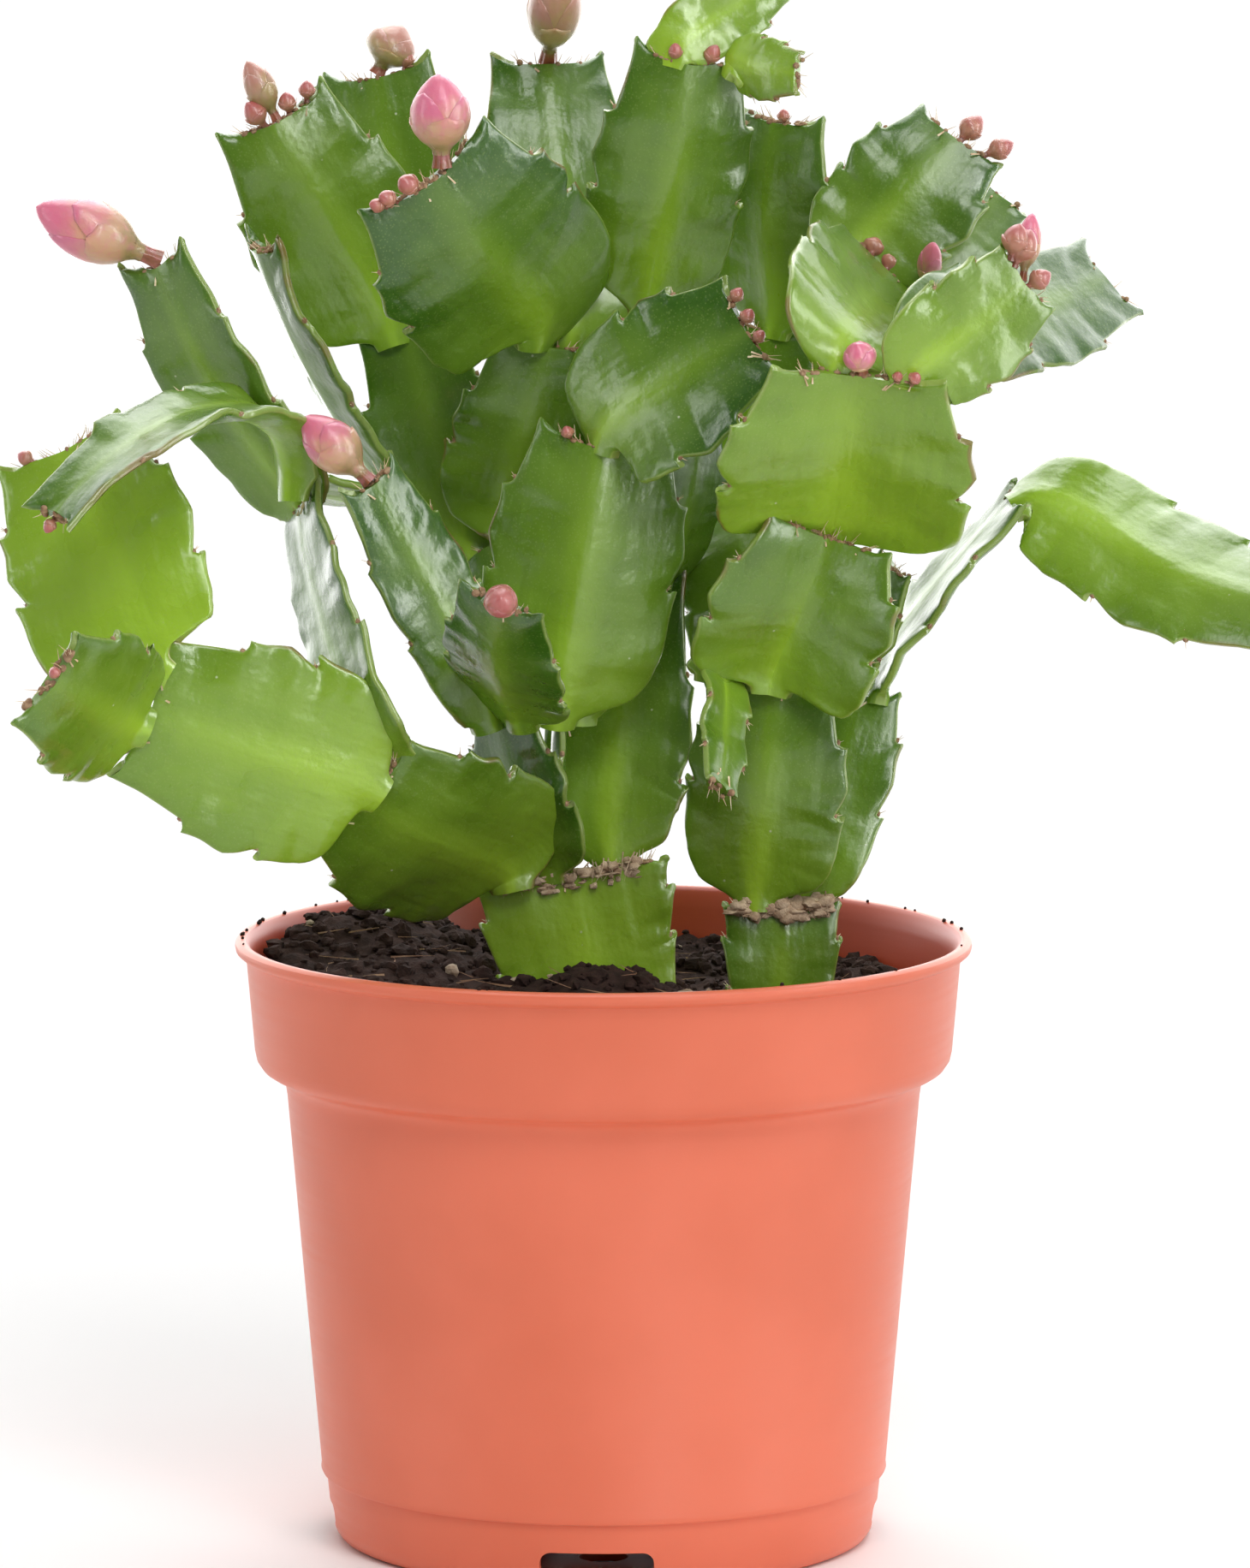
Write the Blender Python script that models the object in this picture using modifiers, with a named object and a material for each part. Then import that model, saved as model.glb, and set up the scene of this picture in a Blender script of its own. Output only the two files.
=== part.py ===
"""Potted christmas cactus: plastic nursery pot, soil, and branching chains of flat toothed stem pads."""

import math

import bmesh
import bpy
import numpy as np

MM = 0.001
GAP = 0.3  # clearance between pieces that touch, mm

# Pot, in millimetres, standing on its flat base at z = 0
POT_HEIGHT = 99.0
LIP_RADIUS = 60.0
BAND_TOP_RADIUS = 58.2
BAND_FOOT_RADIUS = 56.7
BAND_FOOT_Z = 79.0
BODY_TOP_RADIUS = 51.8
BODY_TOP_Z = 76.6
MOULD_LINE_RADIUS = 46.0
MOULD_LINE_Z = 11.2
FOOT_RADIUS = 44.6
BASE_RADIUS = 42.0
WALL = 1.3
FLOOR = 1.8
POT_SEGMENTS = 64
SLOT_WIDTH = 18.3
SLOT_HEIGHT = 5.4
SLOT_Z = 5.6
SLOT_COUNT = 4
HOLE_RADIUS = 4.0
HOLE_RING_RADIUS = 26.0
HOLE_COUNT = 6

# Soil surface, in millimetres
SOIL_LEVEL = 90.5
SOIL_RINGS = 7
SOIL_SEGMENTS = 32

# Pads: half thickness at the midrib and halfway to the margin, mm
MIDRIB_HALF = 1.8
BLADE_HALF = 1.15
NECK_HALF_WIDTH = 2.6
NECK_HALF_THICK = 1.3

# Each pad's outline, from neck to apex, as rings:
# (place of the midrib point, lead of the margin point, half width over the pad's half width)
RINGS = (
    (0.00, 0.00, None),
    (0.05, 0.00, 0.24),
    (0.14, 0.00, 0.62),
    (0.25, 0.01, 0.89),
    ("tooth_1", 0.025, 1.00),
    ("notch_1", 0.00, 0.91),
    ("belly", 0.00, 0.99),
    ("tooth_2", 0.025, 0.96),
    ("notch_2", 0.00, 0.84),
    (0.94, 0.07, 0.70),
    (1.00, -0.01, 0.46),
)
APEX_PART = 0.46
STUMP_WIDTH_PARTS = (0.72, 0.76, 0.80, 0.84, 0.92, 0.88, 0.94, 1.00, 0.94, 0.98, 0.84)

# name: parent, place along the parent's apex (-1 left .. 1 right), step to the front of it mm,
# apex (x, y, z) in mm, width mm, turn about its length, fold (degrees, margins towards the front
# if positive), bow of the midrib mm, teeth (left 1, left 2, right 1, right 2) as parts of the length
PADS = {
    "stump_left": (None, (0, 0, 80), 0, (-5, 0, 109), 32, 5, 4, 1, (0.45, 0.75, 0.55, 0.80)),
    "stump_right": (None, (29, 0, 80), 0, (29, 0, 104), 19, 0, 4, 1, (0.40, 0.72, 0.40, 0.72)),
    "pad_1": ("stump_left", -0.72, 3.5, (-38, -23, 125), 34, 15, 4, 2, (0.42, 0.74, 0.42, 0.70)),
    "pad_2": ("pad_1", 0.3, 1.5, (-72, -32, 140), 34, 4, 4, 1, (0.36, 0.66, 0.36, 0.66)),
    "pad_3": ("pad_1", 1.2, -2.4, (-48, -8, 170), 22, 60, 8, 3, (0.40, 0.70, 0.40, 0.70)),
    "pad_4": ("pad_3", -0.9, -1.5, (-71, -9, 209), 19, 34, 8, 3, (0.40, 0.72, 0.40, 0.72)),
    "pad_5": ("pad_3", 0.9, 3.6, (-85, -50, 173), 14, -78, 6, 13, (0.40, 0.72, 0.40, 0.72)),
    "pad_7": ("pad_2", 0.8, -0.5, (-86, -20, 180), 31, 2, 6, 1, (0.40, 0.72, 0.40, 0.72)),
    "pad_8": ("pad_2", -0.3, 1.5, (-86, -58, 148), 25, -6, 10, 2, (0.40, 0.70, 0.40, 0.70)),
    "pad_9": ("stump_left", -0.26, 0, (-16, -5, 135), 20, 46, 4, 1, (0.45, 0.75, 0.45, 0.75)),
    "pad_9b": ("stump_left", -0.06, -2.2, (-7, -4, 135), 7, 80, 4, 1, (0.45, 0.75, 0.45, 0.75)),
    "pad_10": ("stump_left", 0.50, -2.2, (5, 12, 155), 24, 14, 6, 2, (0.50, 0.80, 0.25, 0.60)),
    "pad_11": ("pad_9", -0.2, 3, (-37, -20, 175), 16, -28, 4, 2, (0.40, 0.70, 0.45, 0.74)),
    "pad_11b": ("pad_9", -0.9, -1, (-35, 14, 169), 12, -44, 4, 1, (0.40, 0.70, 0.40, 0.70)),
    "pad_12": ("pad_9", 1.25, 1.5, (-16, -43, 158), 21, 32, 6, 3, (0.40, 0.70, 0.40, 0.70)),
    "pad_13": ("pad_9b", 0.6, 0.8, (0, -11, 180), 31, 0, -10, 2, (0.45, 0.76, 0.48, 0.78)),
    "pad_19": ("pad_9b", -0.5, -3.2, (-18, 16, 161), 18, 6, 4, 1, (0.40, 0.70, 0.40, 0.70)),
    "pad_14": ("pad_19", -0.9, -2, (-32, 21, 195), 22, 6, 6, 1, (0.40, 0.70, 0.40, 0.70)),
    "pad_15": ("pad_19", 0.9, 1.5, (-9, 6, 195), 24, 6, 6, 2, (0.35, 0.62, 0.40, 0.70)),
    "pad_16": ("pad_10", 0.8, 1.8, (15, 6, 183), 18, -44, 6, 1, (0.40, 0.70, 0.40, 0.70)),
    "pad_17": ("pad_10", -0.4, -1.5, (6, 11, 200), 20, 10, 6, 1, (0.40, 0.70, 0.40, 0.70)),
    "pad_18": ("pad_35", 0.0, 0, (27, 22, 196), 22, 10, 4, 1, (0.40, 0.70, 0.40, 0.70)),
    "pad_20": ("pad_15", -0.4, 1.8, (-27, -22, 224), 36, -12, 6, 3, (0.50, 0.74, 0.48, 0.74)),
    "pad_21": ("pad_14", -0.5, 1, (-53, 14, 231), 28, -8, 6, 1, (0.36, 0.66, 0.38, 0.70)),
    "pad_22": ("pad_14", 0.5, -1.5, (-37, 30, 237), 26, 10, 4, 1, (0.40, 0.70, 0.40, 0.70)),
    "pad_23": ("pad_15", 0.5, -3, (-9, 27, 239), 26, -8, 4, 2, (0.40, 0.72, 0.40, 0.72)),
    "pad_24": ("pad_17", 0.2, 0.5, (14, 0, 241), 25, -10, -2, 2, (0.42, 0.72, 0.42, 0.72)),
    "pad_25a": ("pad_24", 1.2, 1, (31, -8, 240), 10, 6, 2, 1, (0.40, 0.70, 0.40, 0.70)),
    "pad_25b": ("pad_24", -0.5, -1, (27, 8, 254), 12, 6, 2, 1, (0.40, 0.70, 0.40, 0.70)),
    "pad_26": ("pad_18", 0.2, 0, (28, 12, 231), 25, 34, 6, 2, (0.40, 0.72, 0.40, 0.72)),
    "pad_27": ("pad_32", -0.7, -2.4, (57, 8, 228), 24, 20, 6, 1, (0.40, 0.72, 0.40, 0.72)),
    "pad_28": ("pad_32", 0.9, -2, (64, 20, 218), 16, 10, 4, 1, (0.40, 0.70, 0.40, 0.70)),
    "pad_29": ("pad_33", 0.9, 1.5, (66, -28, 208), 20, -18, 6, 1, (0.40, 0.72, 0.40, 0.72)),
    "pad_30": ("pad_13", 0.0, 0, (23, -18, 199), 28, 28, 6, 2, (0.40, 0.70, 0.40, 0.70)),
    "pad_31": ("pad_33", 1.2, -2.4, (81, 12, 205), 22, 26, 6, 1, (0.40, 0.72, 0.40, 0.72)),
    "pad_32": ("pad_33", -0.4, -1, (45, 0, 207), 30, -8, 6, 1, (0.44, 0.74, 0.44, 0.74)),
    "pad_33": ("pad_36", 0.0, -2.4, (40, -32, 194), 40, -4, 8, 3, (0.46, 0.74, 0.46, 0.74)),
    "pad_35": ("pad_38", -0.5, -1.8, (22, 23, 170), 24, 10, 6, 1, (0.40, 0.70, 0.40, 0.70)),
    "pad_36": ("pad_38", -0.1, 2, (36, -14, 166), 31, 0, 20, 2, (0.40, 0.70, 0.50, 0.80)),
    "pad_36b": ("pad_39", -0.5, 0.5, (47, 3, 159), 14, 58, 4, 1, (0.40, 0.70, 0.40, 0.70)),
    "pad_37": ("pad_38", -1.6, 5.0, (18, -24, 127), 10, 50, 4, 1, (0.40, 0.70, 0.40, 0.70)),
    "pad_38": ("stump_right", -0.5, 1, (28, -3, 140), 26, 14, 6, 2, (0.50, 0.74, 0.40, 0.72)),
    "pad_39": ("stump_right", 0.5, -1.5, (42, 10, 137), 18, 14, 6, 1, (0.40, 0.70, 0.45, 0.78)),
    "pad_40": ("pad_39", 0.7, 0, (67, 4, 169), 18, 80, 6, 2, (0.40, 0.70, 0.40, 0.70)),
    "pad_41": ("pad_40", 0.0, 0, (107, -20, 156), 23, 34, 6, -3, (0.40, 0.70, 0.40, 0.70)),
    "pad_42": ("pad_11b", 0.6, 1, (-55, 1, 211), 18, 74, 4, 2, (0.40, 0.70, 0.40, 0.70)),
    "pad_43": ("pad_11b", -0.7, -1, (-61, 9, 179), 16, 68, 4, 2, (0.40, 0.70, 0.40, 0.70)),
}

# name: pad it grows from, place along the apex, step to the front mm, tip (x, y, z) mm, thickness mm
BUDS = {
    "bud_4": ("pad_4", 0.0, 0, (-91, -12, 219), 9.4),
    "bud_11": ("pad_11", 0.0, 0, (-48, -19, 186), 7.8),
    "bud_12": ("pad_12", 0.0, 0, (-16, -50, 160), 5.0),
    "bud_20": ("pad_20", 0.3, 0, (-26, -25, 241), 9.2),
    "bud_21": ("pad_21", 0.0, 0, (-58, 13, 241), 5.0),
    "bud_22": ("pad_22", 0.0, 0, (-33, 30, 246), 8.0),
    "bud_23": ("pad_23", 0.0, 0, (-7, 14, 256), 8.4),
    "bud_29": ("pad_29", 0.0, 0, (68, -26, 219), 4.0),
    "bud_32": ("pad_32", 0.95, 3, (53, -9, 213), 3.8),
    "bud_33": ("pad_33", 0.1, 1, (40, -37, 199), 5.0),
}

PAD_COLOURS = {
    "light": (0.20, 0.30, 0.06),
    "middle": (0.11, 0.21, 0.035),
    "dark": (0.05, 0.12, 0.02),
}
LIGHT_PADS = ("pad_2", "pad_7", "pad_9", "pad_30", "pad_33", "pad_36", "pad_25a", "pad_25b")
DARK_PADS = ("pad_8", "pad_12", "pad_14", "pad_22", "pad_28", "pad_31", "pad_35")


def collection(name):
    made = bpy.data.collections.new(name)
    bpy.context.scene.collection.children.link(made)
    return made


def material(name, colour, roughness):
    made = bpy.data.materials.new(name)
    made.use_nodes = True
    shader = made.node_tree.nodes["Principled BSDF"]
    shader.inputs["Base Color"].default_value = (*colour, 1.0)
    shader.inputs["Roughness"].default_value = roughness
    shader.inputs["Metallic"].default_value = 0.0
    return made


def add_object(name, bm, home, colour, roughness):
    """A named object from a bmesh in millimetres, with its own material."""
    bmesh.ops.recalc_face_normals(bm, faces=bm.faces)
    bmesh.ops.scale(bm, vec=(MM, MM, MM), verts=bm.verts)
    mesh = bpy.data.meshes.new(name)
    bm.to_mesh(mesh)
    bm.free()
    obj = bpy.data.objects.new(name, mesh)
    home.objects.link(obj)
    if colour:
        mesh.materials.append(material(name + "_surface", colour, roughness))
    return obj


def cut(obj, cutter, name):
    modifier = obj.modifiers.new(name, "BOOLEAN")
    modifier.operation = "DIFFERENCE"
    modifier.solver = "EXACT"
    modifier.object = cutter
    cutter.hide_render = True
    cutter.display_type = "WIRE"


def unit(vector):
    return vector / np.linalg.norm(vector)


def ring_places(teeth):
    """For each ring: midrib place, left margin place, right margin place, half width part."""
    left_1, left_2, right_1, right_2 = teeth
    named = {
        "tooth_1": (left_1, right_1),
        "notch_1": (left_1 + 0.035, right_1 + 0.035),
        "belly": (0.5 * (left_1 + left_2) + 0.02, 0.5 * (right_1 + right_2) + 0.02),
        "tooth_2": (left_2, right_2),
        "notch_2": (left_2 + 0.035, right_2 + 0.035),
    }
    rings = []
    for place, lead, part in RINGS:
        left, right = named.get(place, (place, place))
        middle = 0.5 * (left + right)
        rings.append((middle, left + lead, right + lead, part))
    return rings


def sweep(rings_of_points):
    """A closed body through rings with the same number of points, capped at both ends."""
    bm = bmesh.new()
    rings = [[bm.verts.new(point) for point in ring] for ring in rings_of_points]
    count = len(rings[0])
    for low, high in zip(rings, rings[1:]):
        for i in range(count):
            j = (i + 1) % count
            bm.faces.new((low[i], low[j], high[j], high[i]))
    bm.faces.new(rings[0][::-1])
    bm.faces.new(rings[-1])
    return bm


class Pad:
    """The midrib's path and the blade's directions, from neck to apex."""

    def __init__(self, start, start_direction, apex, width, turn, fold, bow, teeth, stump=False):
        self.start = start
        reach = apex - start
        self.length = np.linalg.norm(reach)
        self.direction = reach / self.length
        self.bend = (start_direction - self.direction) * self.length
        self.width = width
        self.fold = math.radians(fold)
        self.bow = bow
        self.teeth = teeth
        self.stump = stump
        across = unit(np.cross((0.0, 1.0, 0.0), self.direction))
        front = np.cross(across, self.direction)
        angle = math.radians(turn)
        self.across = across * math.cos(angle) + front * math.sin(angle)
        self.front = np.cross(self.across, self.direction)

    def path(self, place):
        """A point of the midrib. It leaves the parent straight, then curves to the apex."""
        near = place * (1.0 - place) ** 4 if 0.0 < place < 1.0 else 0.0
        arch = 4.0 * self.bow * place * (1.0 - place)
        along = self.start + self.direction * self.length * place
        return along + self.bend * near + self.front * arch

    def frame(self, place):
        """(along, across, front) at this place of the midrib."""
        step = 0.02
        along = unit(self.path(place + step) - self.path(max(place - step, 0.0)))
        across = unit(self.across - along * np.dot(self.across, along))
        return along, across, np.cross(across, along)

    def point(self, middle, margin, part, side, lift):
        """side runs from -1 at the left margin to 1 at the right one; lift is along the front."""
        place = middle + (margin - middle) * abs(side) ** 1.5
        _, across, front = self.frame(middle)
        out = side * part * self.width * 0.5
        shift = self.direction * self.length * (place - middle)
        fold = across * out * math.cos(self.fold) + front * abs(out) * math.sin(self.fold)
        return self.path(middle) + shift + fold + front * lift

    def rings(self):
        made = []
        for number, (middle, left, right, part) in enumerate(ring_places(self.teeth)):
            rib = MIDRIB_HALF
            blade = BLADE_HALF
            if self.stump:
                part = STUMP_WIDTH_PARTS[number]
            elif part is None:
                part = NECK_HALF_WIDTH / (0.5 * self.width)
                rib = NECK_HALF_THICK
                blade = 0.9 * NECK_HALF_THICK
            if number == 1 and not self.stump:
                part = max(part, 1.2 * NECK_HALF_WIDTH / (0.5 * self.width))
            if number == len(RINGS) - 1:
                rib = 0.6 * MIDRIB_HALF
                blade = 0.7 * BLADE_HALF
            ring = []
            for side, lift in ((-1, 0), (-0.5, 1), (0, 1), (0.5, 1), (1, 0), (0.5, -1), (0, -1), (-0.5, -1)):
                margin = left if side < 0 else right
                half = rib if side == 0 else blade
                ring.append(self.point(middle, margin, part, side, lift * half))
            made.append(ring)
        return made

    def apex_place(self, place, step):
        """Where a child's neck starts, a gap above the apex."""
        along, across, front = self.frame(1.0)
        part = STUMP_WIDTH_PARTS[-1] if self.stump else APEX_PART
        out = place * part * 0.5 * self.width
        return self.path(1.0) + across * out + front * step + along * GAP, along


def make_pads(home):
    made = {}
    waiting = dict(PADS)
    while waiting:
        for name, row in list(waiting.items()):
            parent = row[0]
            if parent is None:
                start = np.array(row[1], float)
                direction = unit(np.array(row[3], float) - start)
            elif parent in made:
                start, direction = made[parent].apex_place(row[1], row[2])
            else:
                continue
            apex = np.array(row[3], float)
            pad = Pad(start, direction, apex, *row[4:], stump=parent is None)
            tone = "light" if name in LIGHT_PADS else "dark" if name in DARK_PADS else "middle"
            add_object(name, sweep(pad.rings()), home, PAD_COLOURS[tone], 0.4)
            made[name] = pad
            del waiting[name]
    return made


def make_buds(home, pads):
    shape = ((0.0, 0.28), (0.12, 0.30), (0.28, 0.78), (0.50, 1.00), (0.75, 0.78), (0.92, 0.38), (1.0, 0.12))
    for name, (parent, place, step, tip, thickness) in BUDS.items():
        start, along = pads[parent].apex_place(place, step)
        reach = np.array(tip, float) - start
        lean = math.sqrt(max(0.0, 1.0 - np.dot(unit(reach), along) ** 2))
        start = start + along * lean * 0.15 * thickness
        reach = np.array(tip, float) - start
        across = unit(np.cross((0.0, 1.0, 0.0), reach))
        front = unit(np.cross(across, reach))
        rings = []
        for along, part in shape:
            ring = []
            for i in range(8):
                angle = math.tau * i / 8
                out = across * math.cos(angle) + front * math.sin(angle)
                ring.append(start + reach * along + out * part * thickness * 0.5)
            rings.append(ring)
        add_object(name, sweep(rings), home, (0.62, 0.16, 0.22), 0.4)


def screw(name, profile, home, segments):
    """A body turned about Z from a profile that runs down its outer side."""
    bm = bmesh.new()
    points = [bm.verts.new((radius * MM, 0.0, z * MM)) for radius, z in profile]
    for first, second in zip(points, points[1:]):
        bm.edges.new((first, second))
    mesh = bpy.data.meshes.new(name)
    bm.to_mesh(mesh)
    bm.free()
    obj = bpy.data.objects.new(name, mesh)
    home.objects.link(obj)
    turned = obj.modifiers.new("turn", "SCREW")
    turned.axis = "Z"
    turned.steps = segments
    turned.render_steps = segments
    turned.use_merge_vertices = True
    turned.merge_threshold = 0.00002
    return obj


def body_radius(z):
    part = (z - MOULD_LINE_Z) / (BODY_TOP_Z - MOULD_LINE_Z)
    return MOULD_LINE_RADIUS + (BODY_TOP_RADIUS - MOULD_LINE_RADIUS) * part


def make_pot(home, cutters):
    outer = [
        (LIP_RADIUS - 0.8, POT_HEIGHT),
        (LIP_RADIUS, POT_HEIGHT - 0.6),
        (LIP_RADIUS, POT_HEIGHT - 1.8),
        (BAND_TOP_RADIUS, POT_HEIGHT - 3.0),
        (BAND_FOOT_RADIUS, BAND_FOOT_Z + 1.4),
        (BAND_FOOT_RADIUS - 1.6, BAND_FOOT_Z - 0.6),
        (BODY_TOP_RADIUS, BODY_TOP_Z),
        (MOULD_LINE_RADIUS, MOULD_LINE_Z),
        (FOOT_RADIUS + 0.4, MOULD_LINE_Z - 0.5),
        (FOOT_RADIUS - 0.4, 2.4),
        (BASE_RADIUS + 1.2, 0.5),
        (BASE_RADIUS, 0.0),
        (0.0, 0.0),
    ]
    inner = [
        (0.0, FLOOR),
        (BASE_RADIUS, FLOOR),
        (MOULD_LINE_RADIUS - WALL - 1.2, MOULD_LINE_Z - 1.0),
        (BODY_TOP_RADIUS - WALL, BODY_TOP_Z + 1.5),
        (BAND_FOOT_RADIUS - WALL, BAND_FOOT_Z + 2.6),
        (BAND_TOP_RADIUS - WALL, POT_HEIGHT - 2.0),
        (LIP_RADIUS - 2.4, POT_HEIGHT - 0.3),
        (LIP_RADIUS - 0.8, POT_HEIGHT),
    ]
    pot = screw("pot", outer + inner, home, POT_SEGMENTS)
    pot.data.materials.append(material("pot_surface", (0.55, 0.16, 0.07), 0.38))
    for number in range(SLOT_COUNT):
        bm = bmesh.new()
        bmesh.ops.create_cube(bm, size=1.0)
        bmesh.ops.scale(bm, vec=(SLOT_WIDTH, 8.0, SLOT_HEIGHT), verts=bm.verts)
        upright = [edge for edge in bm.edges if abs(edge.verts[0].co.y - edge.verts[1].co.y) > 1.0]
        bmesh.ops.bevel(bm, geom=upright, offset=1.8, segments=2, affect="EDGES")
        bmesh.ops.translate(bm, vec=(-1.0 if number == 0 else 0.0, -44.0, SLOT_Z), verts=bm.verts)
        cutter = add_object(f"slot_cutter_{number}", bm, cutters, None, 0)
        cutter.rotation_euler.z = math.tau * number / SLOT_COUNT
        cut(pot, cutter, f"slot_{number}")
    for number in range(HOLE_COUNT):
        angle = math.tau * (number + 0.5) / HOLE_COUNT
        bm = bmesh.new()
        bmesh.ops.create_cone(
            bm, cap_ends=True, segments=16, radius1=HOLE_RADIUS, radius2=HOLE_RADIUS, depth=8.0
        )
        place = (HOLE_RING_RADIUS * math.cos(angle), HOLE_RING_RADIUS * math.sin(angle), 0.5)
        bmesh.ops.translate(bm, vec=place, verts=bm.verts)
        cutter = add_object(f"hole_cutter_{number}", bm, cutters, None, 0)
        cut(pot, cutter, f"hole_{number}")


def soil_height(x, y):
    """Gentle mounds, higher on the left and at the foot of the stems."""
    slope = -0.028 * x + 0.012 * y
    mound = 2.4 * math.exp(-((x + 2.0) ** 2 + (y + 9.0) ** 2) / 130.0)
    ripple = 0.77 * math.sin(0.21 * x + 1.1) * math.cos(0.17 * y - 0.4)
    return SOIL_LEVEL + slope + mound + ripple


POCKET_CORNERS = ((-1, -0.5), (-0.6, -1), (0.6, -1), (1, -0.5), (1, 0.5), (0.6, 1), (-0.6, 1), (-1, 0.5))


def make_soil(home, cutters, pads):
    bm = bmesh.new()

    def turned_ring(radius, height):
        ring = []
        for i in range(SOIL_SEGMENTS):
            angle = math.tau * i / SOIL_SEGMENTS
            x = radius * math.cos(angle)
            y = radius * math.sin(angle)
            ring.append(bm.verts.new((x, y, soil_height(x, y) if height is None else height)))
        return ring

    top_radius = BAND_TOP_RADIUS - WALL - 1.3
    rings = [turned_ring(top_radius * (i + 1) / SOIL_RINGS, None) for i in range(SOIL_RINGS)]
    rings.append(turned_ring(BAND_FOOT_RADIUS - WALL - 0.7, BAND_FOOT_Z + 2.6))
    rings.append(turned_ring(BODY_TOP_RADIUS - WALL - 0.7, BODY_TOP_Z + 1.0))
    rings.append(turned_ring(MOULD_LINE_RADIUS - WALL - 1.9, MOULD_LINE_Z - 0.4))
    rings.append(turned_ring(BASE_RADIUS - 0.9, FLOOR + GAP))
    middle = bm.verts.new((0, 0, soil_height(0, 0)))
    for i in range(SOIL_SEGMENTS):
        j = (i + 1) % SOIL_SEGMENTS
        bm.faces.new((middle, rings[0][i], rings[0][j]))
        for inside, outside in zip(rings, rings[1:]):
            bm.faces.new((inside[i], outside[i], outside[j], inside[j]))
    bm.faces.new(rings[-1])
    soil = add_object("soil", bm, home, (0.035, 0.022, 0.015), 0.95)
    for name in ("stump_left", "stump_right"):
        pad = pads[name]
        half_wide = 0.5 * pad.width + 1.0
        half_deep = 3.4
        rings = []
        for place in (-0.06, 0.9):
            centre = pad.start + pad.direction * (pad.length * place - 1.0)
            ring = []
            for side, lift in POCKET_CORNERS:
                ring.append(centre + pad.across * side * half_wide + pad.front * lift * half_deep)
            rings.append(ring)
        cutter = add_object(name + "_pocket", sweep(rings), cutters, None, 0)
        cut(soil, cutter, name)


def main():
    for obj in list(bpy.data.objects):
        bpy.data.objects.remove(obj, do_unlink=True)
    home = collection("potted_christmas_cactus")
    cutters = collection("cutters")
    pads = make_pads(home)
    make_buds(home, pads)
    make_pot(home, cutters)
    make_soil(home, cutters, pads)


main()
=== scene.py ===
"""Potted christmas cactus: fine pads, buds, bristles, soil and pot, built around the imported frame."""

import functools
import itertools
import math
import random

import bmesh
import bpy
import numpy as np
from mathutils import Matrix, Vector, noise
from mathutils.bvhtree import BVHTree


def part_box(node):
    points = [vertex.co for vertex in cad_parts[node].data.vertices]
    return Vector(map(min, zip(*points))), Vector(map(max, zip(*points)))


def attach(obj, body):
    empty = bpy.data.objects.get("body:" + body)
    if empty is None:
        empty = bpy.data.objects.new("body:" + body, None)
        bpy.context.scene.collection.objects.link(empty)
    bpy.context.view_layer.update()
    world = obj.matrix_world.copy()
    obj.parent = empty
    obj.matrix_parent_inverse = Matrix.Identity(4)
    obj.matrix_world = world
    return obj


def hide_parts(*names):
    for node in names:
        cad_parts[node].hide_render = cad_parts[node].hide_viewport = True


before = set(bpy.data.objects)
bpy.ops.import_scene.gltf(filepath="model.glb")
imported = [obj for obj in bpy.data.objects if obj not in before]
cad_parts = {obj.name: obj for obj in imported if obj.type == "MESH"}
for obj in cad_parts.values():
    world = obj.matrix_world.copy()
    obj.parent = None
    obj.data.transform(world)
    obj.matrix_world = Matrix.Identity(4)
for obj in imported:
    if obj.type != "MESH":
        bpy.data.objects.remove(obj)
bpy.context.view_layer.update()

bl_info = {
    "name": "Potted christmas cactus",
    "version": (1, 0, 0),
    "blender": (4, 5, 0),
    "location": "View3D > Sidebar > Cactus",
    "description": "Builds the fine pads, buds, soil and pot of a potted christmas cactus",
    "category": "Add Mesh",
}

PAD_NODES = sorted(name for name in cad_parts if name.startswith(("pad_", "stump_")))
BUD_NODES = sorted(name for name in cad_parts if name.startswith("bud_"))

# Rings of a CAD pad: neck, collar, flare, shoulder, tooth 1, notch 1, belly, tooth 2, notch 2, horn, cap
LAST_RING = 10
EDGE_RUNS = ((0, 4), (4, 5), (5, 7), (7, 8), (8, 9), (9, 10))
TOOTH_TIPS = (4, 7, 9)
# Rings without a notch give the blade's overall width; the belly is rounder than the CAD's
WIDE_RINGS = (0, 1, 2, 3, 4, 6, 7, 9, 10)
ROUNDING = (1.0, 1.5, 1.24, 1.07, 1.0, 1.0, 1.05, 0.985, 1.02, 0.97, 1.0)
# The margin's lead over the midrib beyond the CAD's, as a share of the pad's length: a heart-shaped base, high horns
EXTRA_LEAD = (0.0, -0.02, -0.045, -0.03, 0.0, 0.0, 0.0, 0.0, 0.0, 0.055, 0.0)
ROWS_IN_RUN = {0: 4, 1: 6, 2: 6, 3: 9, 4: 4, 5: 7, 6: 9, 7: 4, 8: 11, 9: 5}
COLUMNS = (0.06, 0.13, 0.22, 0.32, 0.43, 0.54, 0.64, 0.73, 0.81, 0.88, 0.93, 0.965, 0.987, 1.0)

# How pale and yellow each pad is, 0 to 1; the rest are in between
PAD_TONES = {
    "pad_2": 0.95, "pad_7": 1.35, "pad_8": 0.66, "pad_1": 0.6, "pad_33": 1.05, "pad_36": 0.62,
    "pad_41": 0.75, "pad_25a": 1.0, "pad_25b": 1.0, "pad_30": 0.2, "pad_24": 0.42, "pad_9": 0.1,
    "pad_12": 0.2, "pad_3": 0.2, "pad_11": 0.2, "pad_31": 0.05, "pad_28": 0.3, "pad_21": 0.66,
    "pad_29": 0.8, "stump_left": 1.15, "stump_right": 0.45, "pad_4": 0.4, "pad_5": 0.4, "pad_20": 0.18,
    "pad_27": 0.3, "pad_35": 0.66, "pad_16": 0.25,
}


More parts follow.
